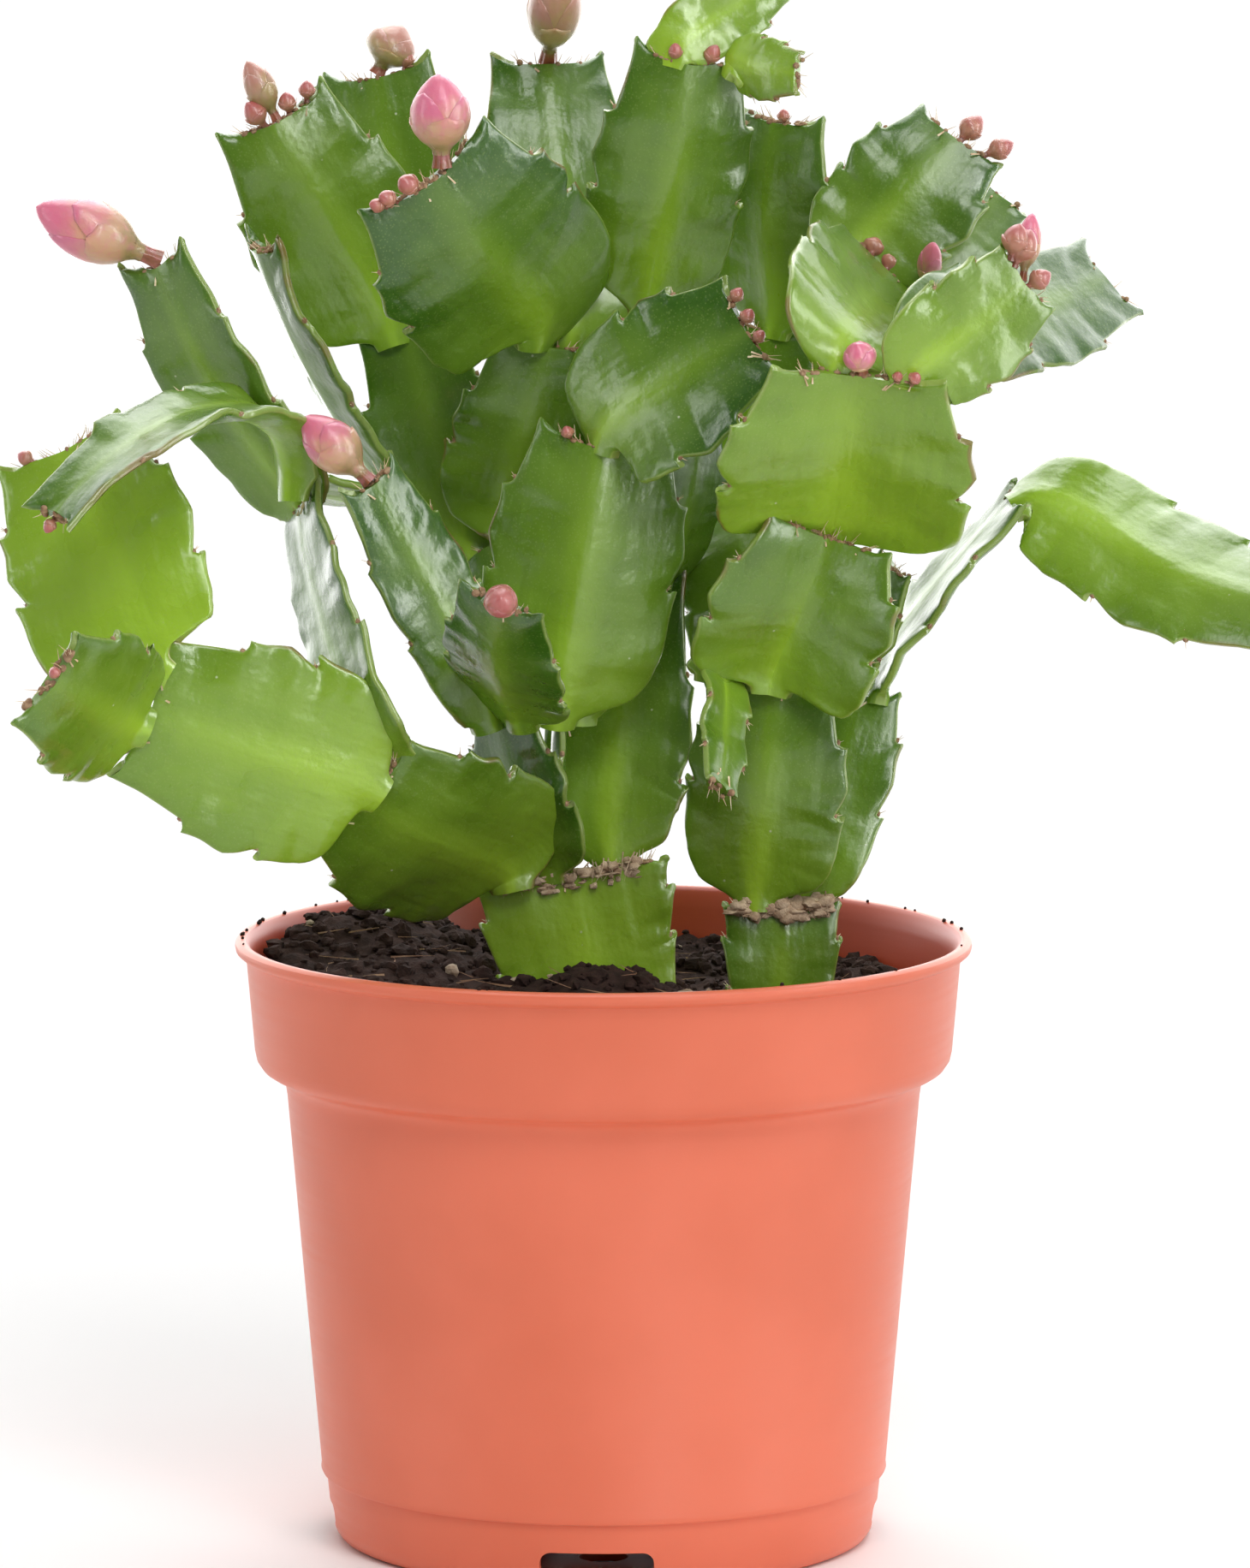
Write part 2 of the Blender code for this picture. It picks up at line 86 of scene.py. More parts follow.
# How steeply a pad's halves slope back (negative) or forward from its midrib, beyond the CAD's fold
PAD_ROOFS = {
    "pad_2": -0.02, "pad_36": 0.30, "pad_33": 0.16, "pad_29": 0.12, "pad_30": -0.05, "pad_7": 0.02, "stump_left": 0.0,
    "stump_right": 0.0, "pad_5": -0.1, "pad_25a": 0.1, "pad_25b": 0.1, "pad_41": -0.22, "pad_32": 0.1, "pad_12": -0.20,
    "pad_16": -0.18, "pad_35": -0.2, "pad_38": -0.26, "pad_37": -0.26, "pad_20": -0.12, "pad_21": -0.14,
}


class CactusSizes(bpy.types.PropertyGroup):
    """Sizes that the frame doesn't fix."""

    rib_thickness: bpy.props.FloatProperty(
        name="Rib thickness", description="Pad thickness at the midrib", default=0.0034, unit="LENGTH"
    )
    blade_thickness: bpy.props.FloatProperty(
        name="Blade thickness", description="Pad thickness beside the midrib", default=0.0023, unit="LENGTH"
    )
    margin_thickness: bpy.props.FloatProperty(
        name="Margin thickness", description="Pad thickness at its margin", default=0.0006, unit="LENGTH"
    )
    margin_rounding: bpy.props.FloatProperty(
        name="Margin rounding", description="How far in from its margin a pad is rounded", default=0.0016, unit="LENGTH"
    )
    tooth_flick: bpy.props.FloatProperty(
        name="Tooth flick", description="How far a tooth's tip curves out", default=0.0009, unit="LENGTH"
    )
    margin_wave: bpy.props.FloatProperty(
        name="Margin wave", description="Height of the waves along a margin", default=0.0009, unit="LENGTH"
    )
    bristle_length: bpy.props.FloatProperty(
        name="Bristle length", description="Longest bristle at an apex", default=0.0056, unit="LENGTH"
    )
    bristle_width: bpy.props.FloatProperty(
        name="Bristle width", description="Thickness of a bristle at its foot", default=0.0002, unit="LENGTH"
    )
    crumb_count: bpy.props.IntProperty(
        name="Soil crumbs", description="Number of loose crumbs on the soil", default=1500, min=0
    )
    fibre_count: bpy.props.IntProperty(
        name="Soil fibres", description="Number of loose root fibres on the soil", default=170, min=0
    )
    seed: bpy.props.IntProperty(name="Seed", description="Seed of everything random", default=7)


class CactusColours(bpy.types.PropertyGroup):
    """Colours of the plant, the soil and the pot."""

    deep_green: bpy.props.FloatVectorProperty(
        name="Deep green", description="Pad skin at its darkest", subtype="COLOR", size=3,
        default=(0.038, 0.116, 0.006), min=0, max=1,
    )
    fresh_green: bpy.props.FloatVectorProperty(
        name="Fresh green", description="Pad skin at its palest", subtype="COLOR", size=3,
        default=(0.345, 0.56, 0.032), min=0, max=1,
    )
    margin: bpy.props.FloatVectorProperty(
        name="Margin", description="Thin edge of a pad", subtype="COLOR", size=3,
        default=(0.36, 0.46, 0.11), min=0, max=1,
    )
    terracotta: bpy.props.FloatVectorProperty(
        name="Terracotta", description="Pot plastic", subtype="COLOR", size=3,
        default=(0.765, 0.172, 0.090), min=0, max=1,
    )
    peat: bpy.props.FloatVectorProperty(
        name="Peat", description="Potting soil", subtype="COLOR", size=3,
        default=(0.026, 0.0135, 0.0105), min=0, max=1,
    )
    petal: bpy.props.FloatVectorProperty(
        name="Petal", description="Bud tips", subtype="COLOR", size=3,
        default=(0.78, 0.19, 0.30), min=0, max=1,
    )


def only(*objects):
    """Only these objects are selected, and the first is active."""
    bpy.ops.object.select_all(action="DESELECT")
    for obj in objects:
        obj.select_set(True)
    bpy.context.view_layer.objects.active = objects[0]


def apply_modifiers(obj):
    only(obj)
    for modifier in list(obj.modifiers):
        bpy.ops.object.modifier_apply(modifier=modifier.name)


def settle(obj, material, nodes=()):
    """Gives a finished piece its material and its place in the frame."""
    obj.data.materials.clear()
    obj.data.materials.append(material)
    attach(obj, "root")
    if nodes:
        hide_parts(*nodes)
    return obj


def named_mesh(name, points, faces):
    mesh = bpy.data.meshes.new(name)
    mesh.from_pydata([tuple(p) for p in points], [], faces)
    mesh.update()
    obj = bpy.data.objects.new(name, mesh)
    bpy.context.scene.collection.objects.link(obj)
    return obj


def smooth(obj, angle=60.0):
    only(obj)
    bpy.ops.object.shade_smooth_by_angle(angle=math.radians(angle))


def face_out(obj):
    """Turns the faces of a closed mesh outwards."""
    only(obj)
    bpy.ops.object.mode_set(mode="EDIT")
    bpy.ops.mesh.select_all(action="SELECT")
    bpy.ops.mesh.normals_make_consistent(inside=False)
    if bmesh.from_edit_mesh(obj.data).calc_volume(signed=True) < 0:
        bpy.ops.mesh.flip_normals()
    bpy.ops.object.mode_set(mode="OBJECT")


def unit(vector):
    return vector / max(np.linalg.norm(vector), 1e-12)


def steps_along(points):
    """Distance from the first point to each, along the line through them."""
    return np.cumsum([0.0] + [np.linalg.norm(b - a) for a, b in zip(points, points[1:])])


def curve(points, knots, at):
    """A smooth line through the points, which it reaches at the knots."""
    if len(points) == 2:
        return points[0] + (points[1] - points[0]) * (at - knots[0]) / (knots[1] - knots[0])
    i = int(np.clip(np.searchsorted(knots, at) - 1, 0, len(knots) - 2))
    slopes = [(q - p) / (l - k) for p, q, k, l in zip(points, points[1:], knots, knots[1:])]

    def tangent(j):
        if j == 0 or j == len(knots) - 1:
            return slopes[min(j, len(slopes) - 1)]
        before, after = knots[j] - knots[j - 1], knots[j + 1] - knots[j]
        return (slopes[j] * before + slopes[j - 1] * after) / (before + after)

    gap = knots[i + 1] - knots[i]
    t = (at - knots[i]) / gap
    start = points[i] * (2 * t**3 - 3 * t**2 + 1) + tangent(i) * gap * (t**3 - 2 * t**2 + t)
    return start + points[i + 1] * (3 * t**2 - 2 * t**3) + tangent(i + 1) * gap * (t**3 - t**2)


def octagons(faces, verts):
    """Patches of six faces that grow from these, each with eight vertices and none of them inside."""
    if len(faces) == 6:
        yield faces, verts
        return
    facing = next(iter(faces)).normal
    for face in list(faces):
        for edge in face.edges:
            for other in edge.link_faces:
                if other in faces or other.normal.dot(facing) < 0.2:
                    continue
                fresh = set(other.verts) - verts
                if len(fresh) == 1:
                    yield from octagons(faces | {other}, verts | fresh)


def caps_of(bm, least_angle):
    """The vertex indices of each likely end cap: a patch whose whole rim is at least this sharp."""

    def sharp(edge):
        return edge.calc_face_angle(0.0) > least_angle

    found = set()
    for face in bm.faces:
        if sum(sharp(edge) for edge in face.edges) < 2:
            continue
        for faces, verts in octagons(frozenset((face,)), frozenset(face.verts)):
            key = frozenset(v.index for v in verts)
            rim = [e for f in faces for e in f.edges if sum(g in faces for g in e.link_faces) == 1]
            if key not in found and all(sharp(edge) for edge in rim):
                found.add(key)
    return found


def layers_from(bm, cap):
    """The vertices in layers from a cap, or None if they aren't eleven layers of eight."""
    bm.verts.ensure_lookup_table()
    layers = [{bm.verts[i] for i in cap}]
    seen = set(layers[0])
    while True:
        beyond = {e.other_vert(v) for v in layers[-1] for e in v.link_edges} - seen
        if not beyond:
            whole = len(layers) == LAST_RING + 1
            return [np.array([v.co[:] for v in layer]) for layer in layers] if whole else None
        if len(beyond) != 8:
            return None
        seen |= beyond
        layers.append(beyond)


def whole_layers(bm, caps):
    return [layers for layers in (layers_from(bm, cap) for cap in caps) if layers]


def layers_after_turning(bm, caps):
    """Tries the other diagonal of flat pairs of triangles, where a ring's own edge was lost to one."""
    bm.edges.index_update()
    flat = [e.index for e in bm.edges if e.calc_face_angle(9.0) < 0.03]
    for count in (1, 2):
        for chosen in itertools.combinations(flat, count):
            trial = bm.copy()
            trial.edges.ensure_lookup_table()
            bmesh.ops.rotate_edges(trial, edges=[trial.edges[i] for i in chosen], use_ccw=False)
            trial.verts.index_update()
            found = whole_layers(trial, caps)
            trial.free()
            if found:
                return found
    return []


def ring_thickness(ring):
    gaps = np.linalg.norm(ring[:, None] - ring[None], axis=2)
    a, b = np.unravel_index(gaps.argmax(), gaps.shape)
    across = unit(ring[b] - ring[a])
    rest = sorted((p for i, p in enumerate(ring) if i not in (a, b)), key=lambda p: np.dot(p, across))
    return np.linalg.norm(rest[2] - rest[3])


class Blade:
    """A CAD pad read back as its rings: midrib, left and right margin, and front direction."""

    def __init__(self, node):
        bm = bmesh.new()
        bm.from_mesh(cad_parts[node].data)
        bmesh.ops.remove_doubles(bm, verts=bm.verts, dist=3e-6)
        layers = self.rings_of(bm, node)
        self.node = node
        self.middle, self.left, self.right, self.front = [], [], [], []
        for ring in layers:
            self.add_ring(ring)
        bm.free()
        self.steps = steps_along(self.middle)
        self.length = self.steps[-1]
        self.width = max(np.linalg.norm(r - l) for l, r in zip(self.left, self.right))
        self.rng = random.Random(node)
        self.phase = self.rng.uniform(0, 50)
        self.curl = self.rng.uniform(-0.08, 0.10)
        self.roof = PAD_ROOFS.get(node, -0.13 + self.rng.uniform(-0.05, 0.05))
        self.kept = {}
        self.spread, self.leads, self.slope = {}, {}, {}
        for side, edges in ((-1, self.left), (1, self.right)):
            flats, leads, slopes = [], [], []
            for ring in WIDE_RINGS:
                _, along, front = self.frame_at(ring)
                out = edges[ring] - self.middle[ring]
                lift = np.dot(out, front)
                flat = np.linalg.norm(out - front * lift - along * np.dot(out, along))
                rounding = 1.0 if node.startswith("stump") else ROUNDING[ring]
                extra = 0.0 if node.startswith("stump") else EXTRA_LEAD[ring]
                flats.append(flat * rounding)
                leads.append(np.dot(out, along) + extra * self.length)
                if ring in (3, 4, 6, 7, 9):
                    slopes.append(lift / flat)
            self.spread[side], self.leads[side] = flats, leads
            self.slope[side] = sum(slopes) / len(slopes)

    @staticmethod
    def rings_of(bm, node):
        """The vertices in layers of eight, from the neck, whose cap is the thicker of the two."""
        bm.verts.index_update()
        bm.normal_update()
        whole = None
        for read in (whole_layers, layers_after_turning):
            for least_angle in (0.6, 0.3):
                whole = whole or read(bm, caps_of(bm, least_angle))
        if not whole:
            raise RuntimeError(f"{node} can't be read as {LAST_RING + 1} rings of 8")
        return max(whole, key=lambda layers: ring_thickness(layers[0]))

    def add_ring(self, ring):
        gaps = np.linalg.norm(ring[:, None] - ring[None], axis=2)
        a, b = np.unravel_index(gaps.argmax(), gaps.shape)
        first, second = ring[a], ring[b]
        if self.left:
            if np.linalg.norm(first - self.left[-1]) > np.linalg.norm(second - self.left[-1]):
                first, second = second, first
        across = unit(second - first)
        rest = [p for i, p in enumerate(ring) if i not in (a, b)]
        rest.sort(key=lambda p: np.dot(p - first, across))
        pair = rest[2:4]
        front = unit(pair[0] - pair[1])
        if self.front:
            if np.dot(front, self.front[-1]) < 0:
                front = -front
        else:
            if front[1] > 0:
                front = -front
        self.middle.append(0.5 * (pair[0] + pair[1]))
        self.left.append(first)
        self.right.append(second)
        self.front.append(front)

    def edge(self, points, s):
        for low, high in EDGE_RUNS:
            if s <= high or high == LAST_RING:
                run = points[low : high + 1]
                knots = steps_along(run)
                return curve(run, knots, np.interp(s, range(low, high + 1), knots))

    def flick(self, s):
        """How far out the margin goes near a tooth's tip, as a share of the full flick."""
        share = 0.0
        for tip in TOOTH_TIPS:
            before = 1.0 - (tip - s) / 0.42
            if s <= tip and before > 0:
                share = before**2
            if tip < s < tip + 1:
                share = (1.0 - (s - tip)) ** 2
        return share

    def distance(self, s):
        """Distance from the base along the midrib."""
        return float(np.interp(s, range(LAST_RING + 1), self.steps))

    def frame_at(self, s):
        """Midrib point, unit direction to the apex, unit front."""
        at = self.distance(s)
        middle = curve(self.middle, self.steps, at)
        ahead = curve(self.middle, self.steps, min(at + 0.0005, self.length))
        behind = curve(self.middle, self.steps, max(at - 0.0005, 0.0))
        along = unit(ahead - behind)
        front = curve(self.front, self.steps, at)
        front = unit(front - along * np.dot(front, along))
        return middle, along, front

    def overall(self, values, s):
        """A value of the rings without a notch, evened out along the pad."""
        knots = [self.steps[ring] for ring in WIDE_RINGS]
        at, even = self.distance(s), min(0.002, 0.09 * self.length)
        places = [min(max(at + step * even, 0.0), self.length) for step in (-1, -0.5, 0, 0.5, 1)]
        return float(np.mean(np.interp(places, knots, values)))

    def row(self, s, sizes):
        """Midrib point, directions, and for each side: direction out, reach, lead, lead of a tooth, full width."""
        if not self.kept:
            self.keep_rows(sizes)
        if s not in self.kept:
            s = min(self.kept, key=lambda kept: abs(kept - s))
        return self.kept[s]

    def keep_rows(self, sizes):
        size = min(1.0, self.width / 0.022)
        rings = range(LAST_RING + 1)
        for s in row_places():
            middle, along, front = self.frame_at(s)
            sides = {}
            for side, edges in ((-1, self.left), (1, self.right)):
                out = self.edge(edges, s) - middle
                flat = out - along * np.dot(out, along) - front * np.dot(out, front)
                reach = np.linalg.norm(flat)
                direction = flat / max(reach, 1e-9)
                tip = self.flick(s) * sizes.tooth_flick * size
                if not self.node.startswith("stump"):
                    reach *= np.interp(s, rings, ROUNDING)
                wide = max(self.overall(self.spread[side], s), 0.6 * reach)
                reach = max(reach, 0.86 * wide) + 0.6 * tip
                sides[side] = direction, reach, self.overall(self.leads[side], s), tip, wide
            self.kept[s] = middle, along, front, sides

    @staticmethod
    def outward(u, reach, wide):
        """Distance from the midrib. Only the outer part of a row follows the teeth and the notches."""
        part = abs(u)
        if part <= 0.8:
            return part * wide
        return 0.8 * wide + (reach - 0.8 * wide) * (part - 0.8) / 0.2

    def surface(self, s, u, sizes):
        """A point of the pad's middle surface; u runs from -1 to 1 across it."""
        middle, along, front, sides = self.row(s, sizes)
        side = -1 if u < 0 else 1
        direction, reach, lead, tip, wide = sides[side]
        out = self.outward(u, reach, wide)
        share = out / wide
        ahead = lead * min(share, 1.1) ** 1.7
        turned = min(1.0, max(0.0, (share - 0.84) / max(reach / wide - 0.84, 0.02)))
        ahead += 1.1 * tip * turned * turned * (3 - 2 * turned)
        soft = math.sqrt(out * out + 1.4e-6) - 0.0011832
        grown = min(1.0, s / 3.0)
        at = self.distance(s)
        wave = noise.noise(Vector((at * 170, side * out * 70 + self.phase, self.phase)))
        ripple = noise.noise(Vector((at * 420, side * out * 160 + self.phase, 9.0)))
        lift = (self.slope[side] + self.roof) * soft + self.curl * grown * out * share
        lift += sizes.margin_wave * grown * (1.6 * wave * share**1.5 + 0.35 * ripple * share)
        return middle + direction * out + along * ahead + front * lift

    def thickness(self, s, u, sizes):
        _, _, _, sides = self.row(s, sizes)
        _, reach, _, _, wide = sides[-1 if u < 0 else 1]
        out = self.outward(u, reach, wide)
        inside = min(1.0, max(0.0, (reach - out) / sizes.margin_rounding))
        body = sizes.blade_thickness * (1 - 0.35 * min(1.0, out / wide) ** 2)
        body = sizes.margin_thickness + (body - sizes.margin_thickness) * math.sqrt(1 - (1 - inside) ** 2)
        rib = (sizes.rib_thickness - sizes.blade_thickness) * math.exp(-((out / 0.0024) ** 2)) * (1 - 0.07 * s)
        neck = 0.0006 * math.exp(-s * 1.3)
        return (body + rib + neck) * min(1.0, 0.6 + self.width / 0.03)

    def reading(self, s, u, sizes):
        """Distance across, distance along and distance from the margin, in mm; share along, share across."""
        _, _, _, sides = self.row(s, sizes)
        _, reach, _, _, wide = sides[-1 if u < 0 else 1]
        out = self.outward(u, reach, wide)
        along = self.distance(s)
        edge = min(reach - out, (self.length - along) * 2 + 0.002)
        return (math.copysign(out, u) * 1000, along * 1000, edge * 1000), along / self.length, min(1.0, out / wide)


def row_places():
    places = [0.0]
    for run, count in ROWS_IN_RUN.items():
        places += [run + (i + 1) / count for i in range(count)]
    return places


def column_places():
    return [-x for x in reversed(COLUMNS)] + [0.0] + list(COLUMNS)


def add_pad(blade, sizes, material):
    """A grid laid on the blade's middle surface, then given its thickness by Solidify."""
    rows, columns = row_places(), column_places()
    bpy.ops.object.select_all(action="DESELECT")
    bpy.ops.mesh.primitive_grid_add(
        x_subdivisions=len(columns) - 1, y_subdivisions=len(rows) - 1, size=2.0, calc_uvs=True
    )
    pad = bpy.context.object
    pad.name = pad.data.name = "leaf_" + blade.node
    group = pad.vertex_groups.new(name="thickness")
    most = sizes.rib_thickness + 0.0006
    tone = PAD_TONES.get(blade.node, 0.32 + 0.3 * blade.rng.random())
    places, readings = [], []
    for vertex in pad.data.vertices:
        column = round((vertex.co.x + 1) / 2 * (len(columns) - 1))
        row = round((vertex.co.y + 1) / 2 * (len(rows) - 1))
        s, u = rows[row], columns[column]
        place, share, across = blade.reading(s, u, sizes)
        places += place
        readings += (tone, share, across)
        point = blade.surface(s, u, sizes)
        if row == 0:
            point = point - blade.frame_at(0)[1] * 0.0009
        vertex.co = point
        group.add([vertex.index], min(1.0, blade.thickness(s, u, sizes) / most), "REPLACE")
    for name, values in (("blade_mm", places), ("blade_tone", readings)):
        pad.data.attributes.new(name, "FLOAT_VECTOR", "POINT").data.foreach_set("vector", values)
    solid = pad.modifiers.new("thickness", "SOLIDIFY")
    solid.thickness = most
    solid.offset = 0.0
    solid.vertex_group = "thickness"
    solid.use_quality_normals = True
    apply_modifiers(pad)
    face_out(pad)
    pad.vertex_groups.clear()
    smooth(pad, 75)
    return settle(pad, material, [blade.node])


# ---------------------------------------------------------------- materials


def new_material(name):
    material = bpy.data.materials.new(name)
    material.use_nodes = True
    nodes, links = material.node_tree.nodes, material.node_tree.links
    return material, nodes, links, nodes["Principled BSDF"]


def node(nodes, kind, **values):
    made = nodes.new(kind)
    for key, value in values.items():
        setattr(made, key, value)
    return made


def math_node(nodes, links, operation, first, second=None, clamp=False):
    made = node(nodes, "ShaderNodeMath", operation=operation, use_clamp=clamp)
    for socket, value in zip(made.inputs, (first, second)):
        if value is None:
            continue
        if isinstance(value, (int, float)):
            socket.default_value = value
        else:
            links.new(value, socket)
    return made.outputs[0]


def ramp(nodes, links, value, low, high, out_low=0.0, out_high=1.0, smoothed=True):
    made = node(nodes, "ShaderNodeMapRange", interpolation_type="SMOOTHSTEP" if smoothed else "LINEAR")
    links.new(value, made.inputs["Value"])
    made.inputs["From Min"].default_value = low
    made.inputs["From Max"].default_value = high
    made.inputs["To Min"].default_value = out_low
    made.inputs["To Max"].default_value = out_high
    return made.outputs["Result"]


def mix_colour(nodes, links, factor, first, second, blend="MIX"):
    made = node(nodes, "ShaderNodeMix", data_type="RGBA", blend_type=blend)
    sockets = [s for s in made.inputs if s.enabled]
    for socket, value in zip(sockets, (factor, first, second)):
        if isinstance(value, (int, float)):
            socket.default_value = value
        elif isinstance(value, (tuple, list)):
            socket.default_value = (*value[:3], 1.0)
        elif hasattr(value, "is_linked"):
            links.new(value, socket)
        else:
            socket.default_value = (*tuple(value)[:3], 1.0)
    return [s for s in made.outputs if s.enabled][0]


def noise_node(nodes, links, vector, scale, detail=2.0, roughness=0.5):
    made = node(nodes, "ShaderNodeTexNoise")
    links.new(vector, made.inputs["Vector"])
    made.inputs["Scale"].default_value = scale
    made.inputs["Detail"].default_value = detail
    made.inputs["Roughness"].default_value = roughness
    return made.outputs["Fac"]


def mottle_group():
    """Soft blotches and fine dots that the skin, the buds and the pot all show in some measure."""
    group = bpy.data.node_groups.new("Mottle", "ShaderNodeTree")
    for name, kind in (("Coordinates", "NodeSocketVector"), ("Blotch Scale", "NodeSocketFloat"), ("Dot Scale", "NodeSocketFloat")):
        group.interface.new_socket(name, in_out="INPUT", socket_type=kind)
    for name in ("Blotches", "Dots"):
        group.interface.new_socket(name, in_out="OUTPUT", socket_type="NodeSocketFloat")
    nodes, links = group.nodes, group.links
    into = nodes.new("NodeGroupInput")
    out = nodes.new("NodeGroupOutput")
    blotch = node(nodes, "ShaderNodeTexNoise")
    blotch.inputs["Detail"].default_value = 3.0
    links.new(into.outputs["Coordinates"], blotch.inputs["Vector"])
    links.new(into.outputs["Blotch Scale"], blotch.inputs["Scale"])
    links.new(ramp(nodes, links, blotch.outputs["Fac"], 0.3, 0.7), out.inputs["Blotches"])
    dots = node(nodes, "ShaderNodeTexVoronoi")
    links.new(into.outputs["Coordinates"], dots.inputs["Vector"])
    links.new(into.outputs["Dot Scale"], dots.inputs["Scale"])
    links.new(ramp(nodes, links, dots.outputs["Distance"], 0.12, 0.38, 1.0, 0.0), out.inputs["Dots"])
    return group


def mottle(nodes, links, vector, blotch_scale, dot_scale):
    made = node(nodes, "ShaderNodeGroup", node_tree=bpy.data.node_groups["Mottle"])
    links.new(vector, made.inputs["Coordinates"])
    made.inputs["Blotch Scale"].default_value = blotch_scale
    made.inputs["Dot Scale"].default_value = dot_scale
    return made.outputs["Blotches"], made.outputs["Dots"]


def bump(nodes, links, shader, height, strength, distance):
    made = node(nodes, "ShaderNodeBump")
    made.inputs["Strength"].default_value = strength
    made.inputs["Distance"].default_value = distance
    links.new(height, made.inputs["Height"])
    links.new(made.outputs["Normal"], shader.inputs["Normal"])


def skin_material(colours):
    material, nodes, links, shader = new_material("cactus_skin")
    coordinates = node(nodes, "ShaderNodeTexCoord")
    place = node(nodes, "ShaderNodeAttribute", attribute_name="blade_mm")
    reading = node(nodes, "ShaderNodeAttribute", attribute_name="blade_tone")
    split = node(nodes, "ShaderNodeSeparateXYZ")
    links.new(reading.outputs["Vector"], split.inputs[0])
    tone, share, across = split.outputs
    distance = node(nodes, "ShaderNodeSeparateXYZ")
    links.new(place.outputs["Vector"], distance.inputs[0])
    edge = distance.outputs["Z"]
    blotches, dots = mottle(nodes, links, coordinates.outputs["Object"], 110.0, 1900.0)
    rib = math_node(
        nodes, links, "MULTIPLY", ramp(nodes, links, across, 0.0, 0.36, 0.46, 0.0), ramp(nodes, links, share, 0.1, 1.0, 1.0, 0.35)
    )
    foot = ramp(nodes, links, share, 0.0, 0.62, 0.36, 0.0)
    outer = ramp(nodes, links, across, 0.4, 1.0, 0.0, -0.16)
    top = ramp(nodes, links, share, 0.6, 1.0, 0.0, -0.10)
    level = math_node(nodes, links, "ADD", rib, foot)
    level = math_node(nodes, links, "ADD", level, outer)
    level = math_node(nodes, links, "ADD", level, top)
    level = math_node(nodes, links, "ADD", level, math_node(nodes, links, "MULTIPLY", blotches, 0.12))
    level = math_node(nodes, links, "MULTIPLY", level, 0.8)
    level = math_node(nodes, links, "ADD", level, math_node(nodes, links, "MULTIPLY", tone, 0.55), True)
    skin = mix_colour(nodes, links, level, colours.deep_green, colours.fresh_green)
    skin = mix_colour(nodes, links, math_node(nodes, links, "MULTIPLY", dots, 0.20), skin, (0.34, 0.46, 0.13))
    flecks = node(nodes, "ShaderNodeTexVoronoi")
    links.new(coordinates.outputs["Object"], flecks.inputs["Vector"])
    flecks.inputs["Scale"].default_value = 260.0
    fleck = ramp(nodes, links, flecks.outputs["Distance"], 0.03, 0.07, 1.0, 0.0)
    rare = node(nodes, "ShaderNodeSeparateColor")
    links.new(flecks.outputs["Color"], rare.inputs[0])
    fleck = math_node(nodes, links, "MULTIPLY", fleck, math_node(nodes, links, "LESS_THAN", rare.outputs[0], 0.16))
    skin = mix_colour(nodes, links, math_node(nodes, links, "MULTIPLY", fleck, 0.7), skin, (0.62, 0.66, 0.45))
    margin = ramp(nodes, links, edge, 0.02, 0.35, 0.55, 0.0)
    skin = mix_colour(nodes, links, margin, skin, colours.margin)
    red = noise_node(nodes, links, coordinates.outputs["Object"], 70.0, 2.0)
    red = math_node(nodes, links, "MULTIPLY", ramp(nodes, links, red, 0.57, 0.68), ramp(nodes, links, edge, 0.1, 0.6, 0.6, 0.0))
    skin = mix_colour(nodes, links, red, skin, (0.22, 0.07, 0.03))
    links.new(skin, shader.inputs["Base Color"])
    rough = math_node(nodes, links, "ADD", math_node(nodes, links, "MULTIPLY", blotches, 0.12), 0.24)
    links.new(rough, shader.inputs["Roughness"])
    shader.inputs["Subsurface Weight"].default_value = 0.10
    shader.inputs["Subsurface Radius"].default_value = (0.4, 1.0, 0.1)
    shader.inputs["Subsurface Scale"].default_value = 0.0015
    shader.inputs["Specular IOR Level"].default_value = 0.5
    shader.inputs["Coat Weight"].default_value = 0.3
    shader.inputs["Coat Roughness"].default_value = 0.18
    stretch = node(nodes, "ShaderNodeMapping")
    stretch.inputs["Scale"].default_value = (0.30, 0.07, 0.0)
    links.new(place.outputs["Vector"], stretch.inputs["Vector"])
    veins = noise_node(nodes, links, stretch.outputs["Vector"], 1.0, 2.0, 0.4)
    dents = noise_node(nodes, links, coordinates.outputs["Object"], 240.0, 2.0)
    fine = noise_node(nodes, links, coordinates.outputs["Object"], 1100.0, 2.0)
    height = math_node(nodes, links, "ADD", veins, math_node(nodes, links, "MULTIPLY", dents, 0.55))
    height = math_node(nodes, links, "ADD", height, math_node(nodes, links, "MULTIPLY", fine, 0.14))
    bump(nodes, links, shader, height, 0.55, 0.0008)
    return material


def plain_material(name, colour, second, roughness, scale, bump_size, coat=0.0):
    """A matte or satin finish with blotches of a second colour and a fine grain."""
    material, nodes, links, shader = new_material(name)
    place = node(nodes, "ShaderNodeTexCoord")
    blotches, dots = mottle(nodes, links, place.outputs["Object"], scale, scale * 9)
    base = mix_colour(nodes, links, blotches, colour, second)
    links.new(base, shader.inputs["Base Color"])
    links.new(math_node(nodes, links, "ADD", math_node(nodes, links, "MULTIPLY", dots, 0.08), roughness), shader.inputs["Roughness"])
    shader.inputs["Specular IOR Level"].default_value = 0.12 if roughness > 0.9 else 0.4
    shader.inputs["Coat Weight"].default_value = coat
    grain = noise_node(nodes, links, place.outputs["Object"], scale * 6, 4.0, 0.6)
    bump(nodes, links, shader, grain, 0.5, bump_size)
    return material


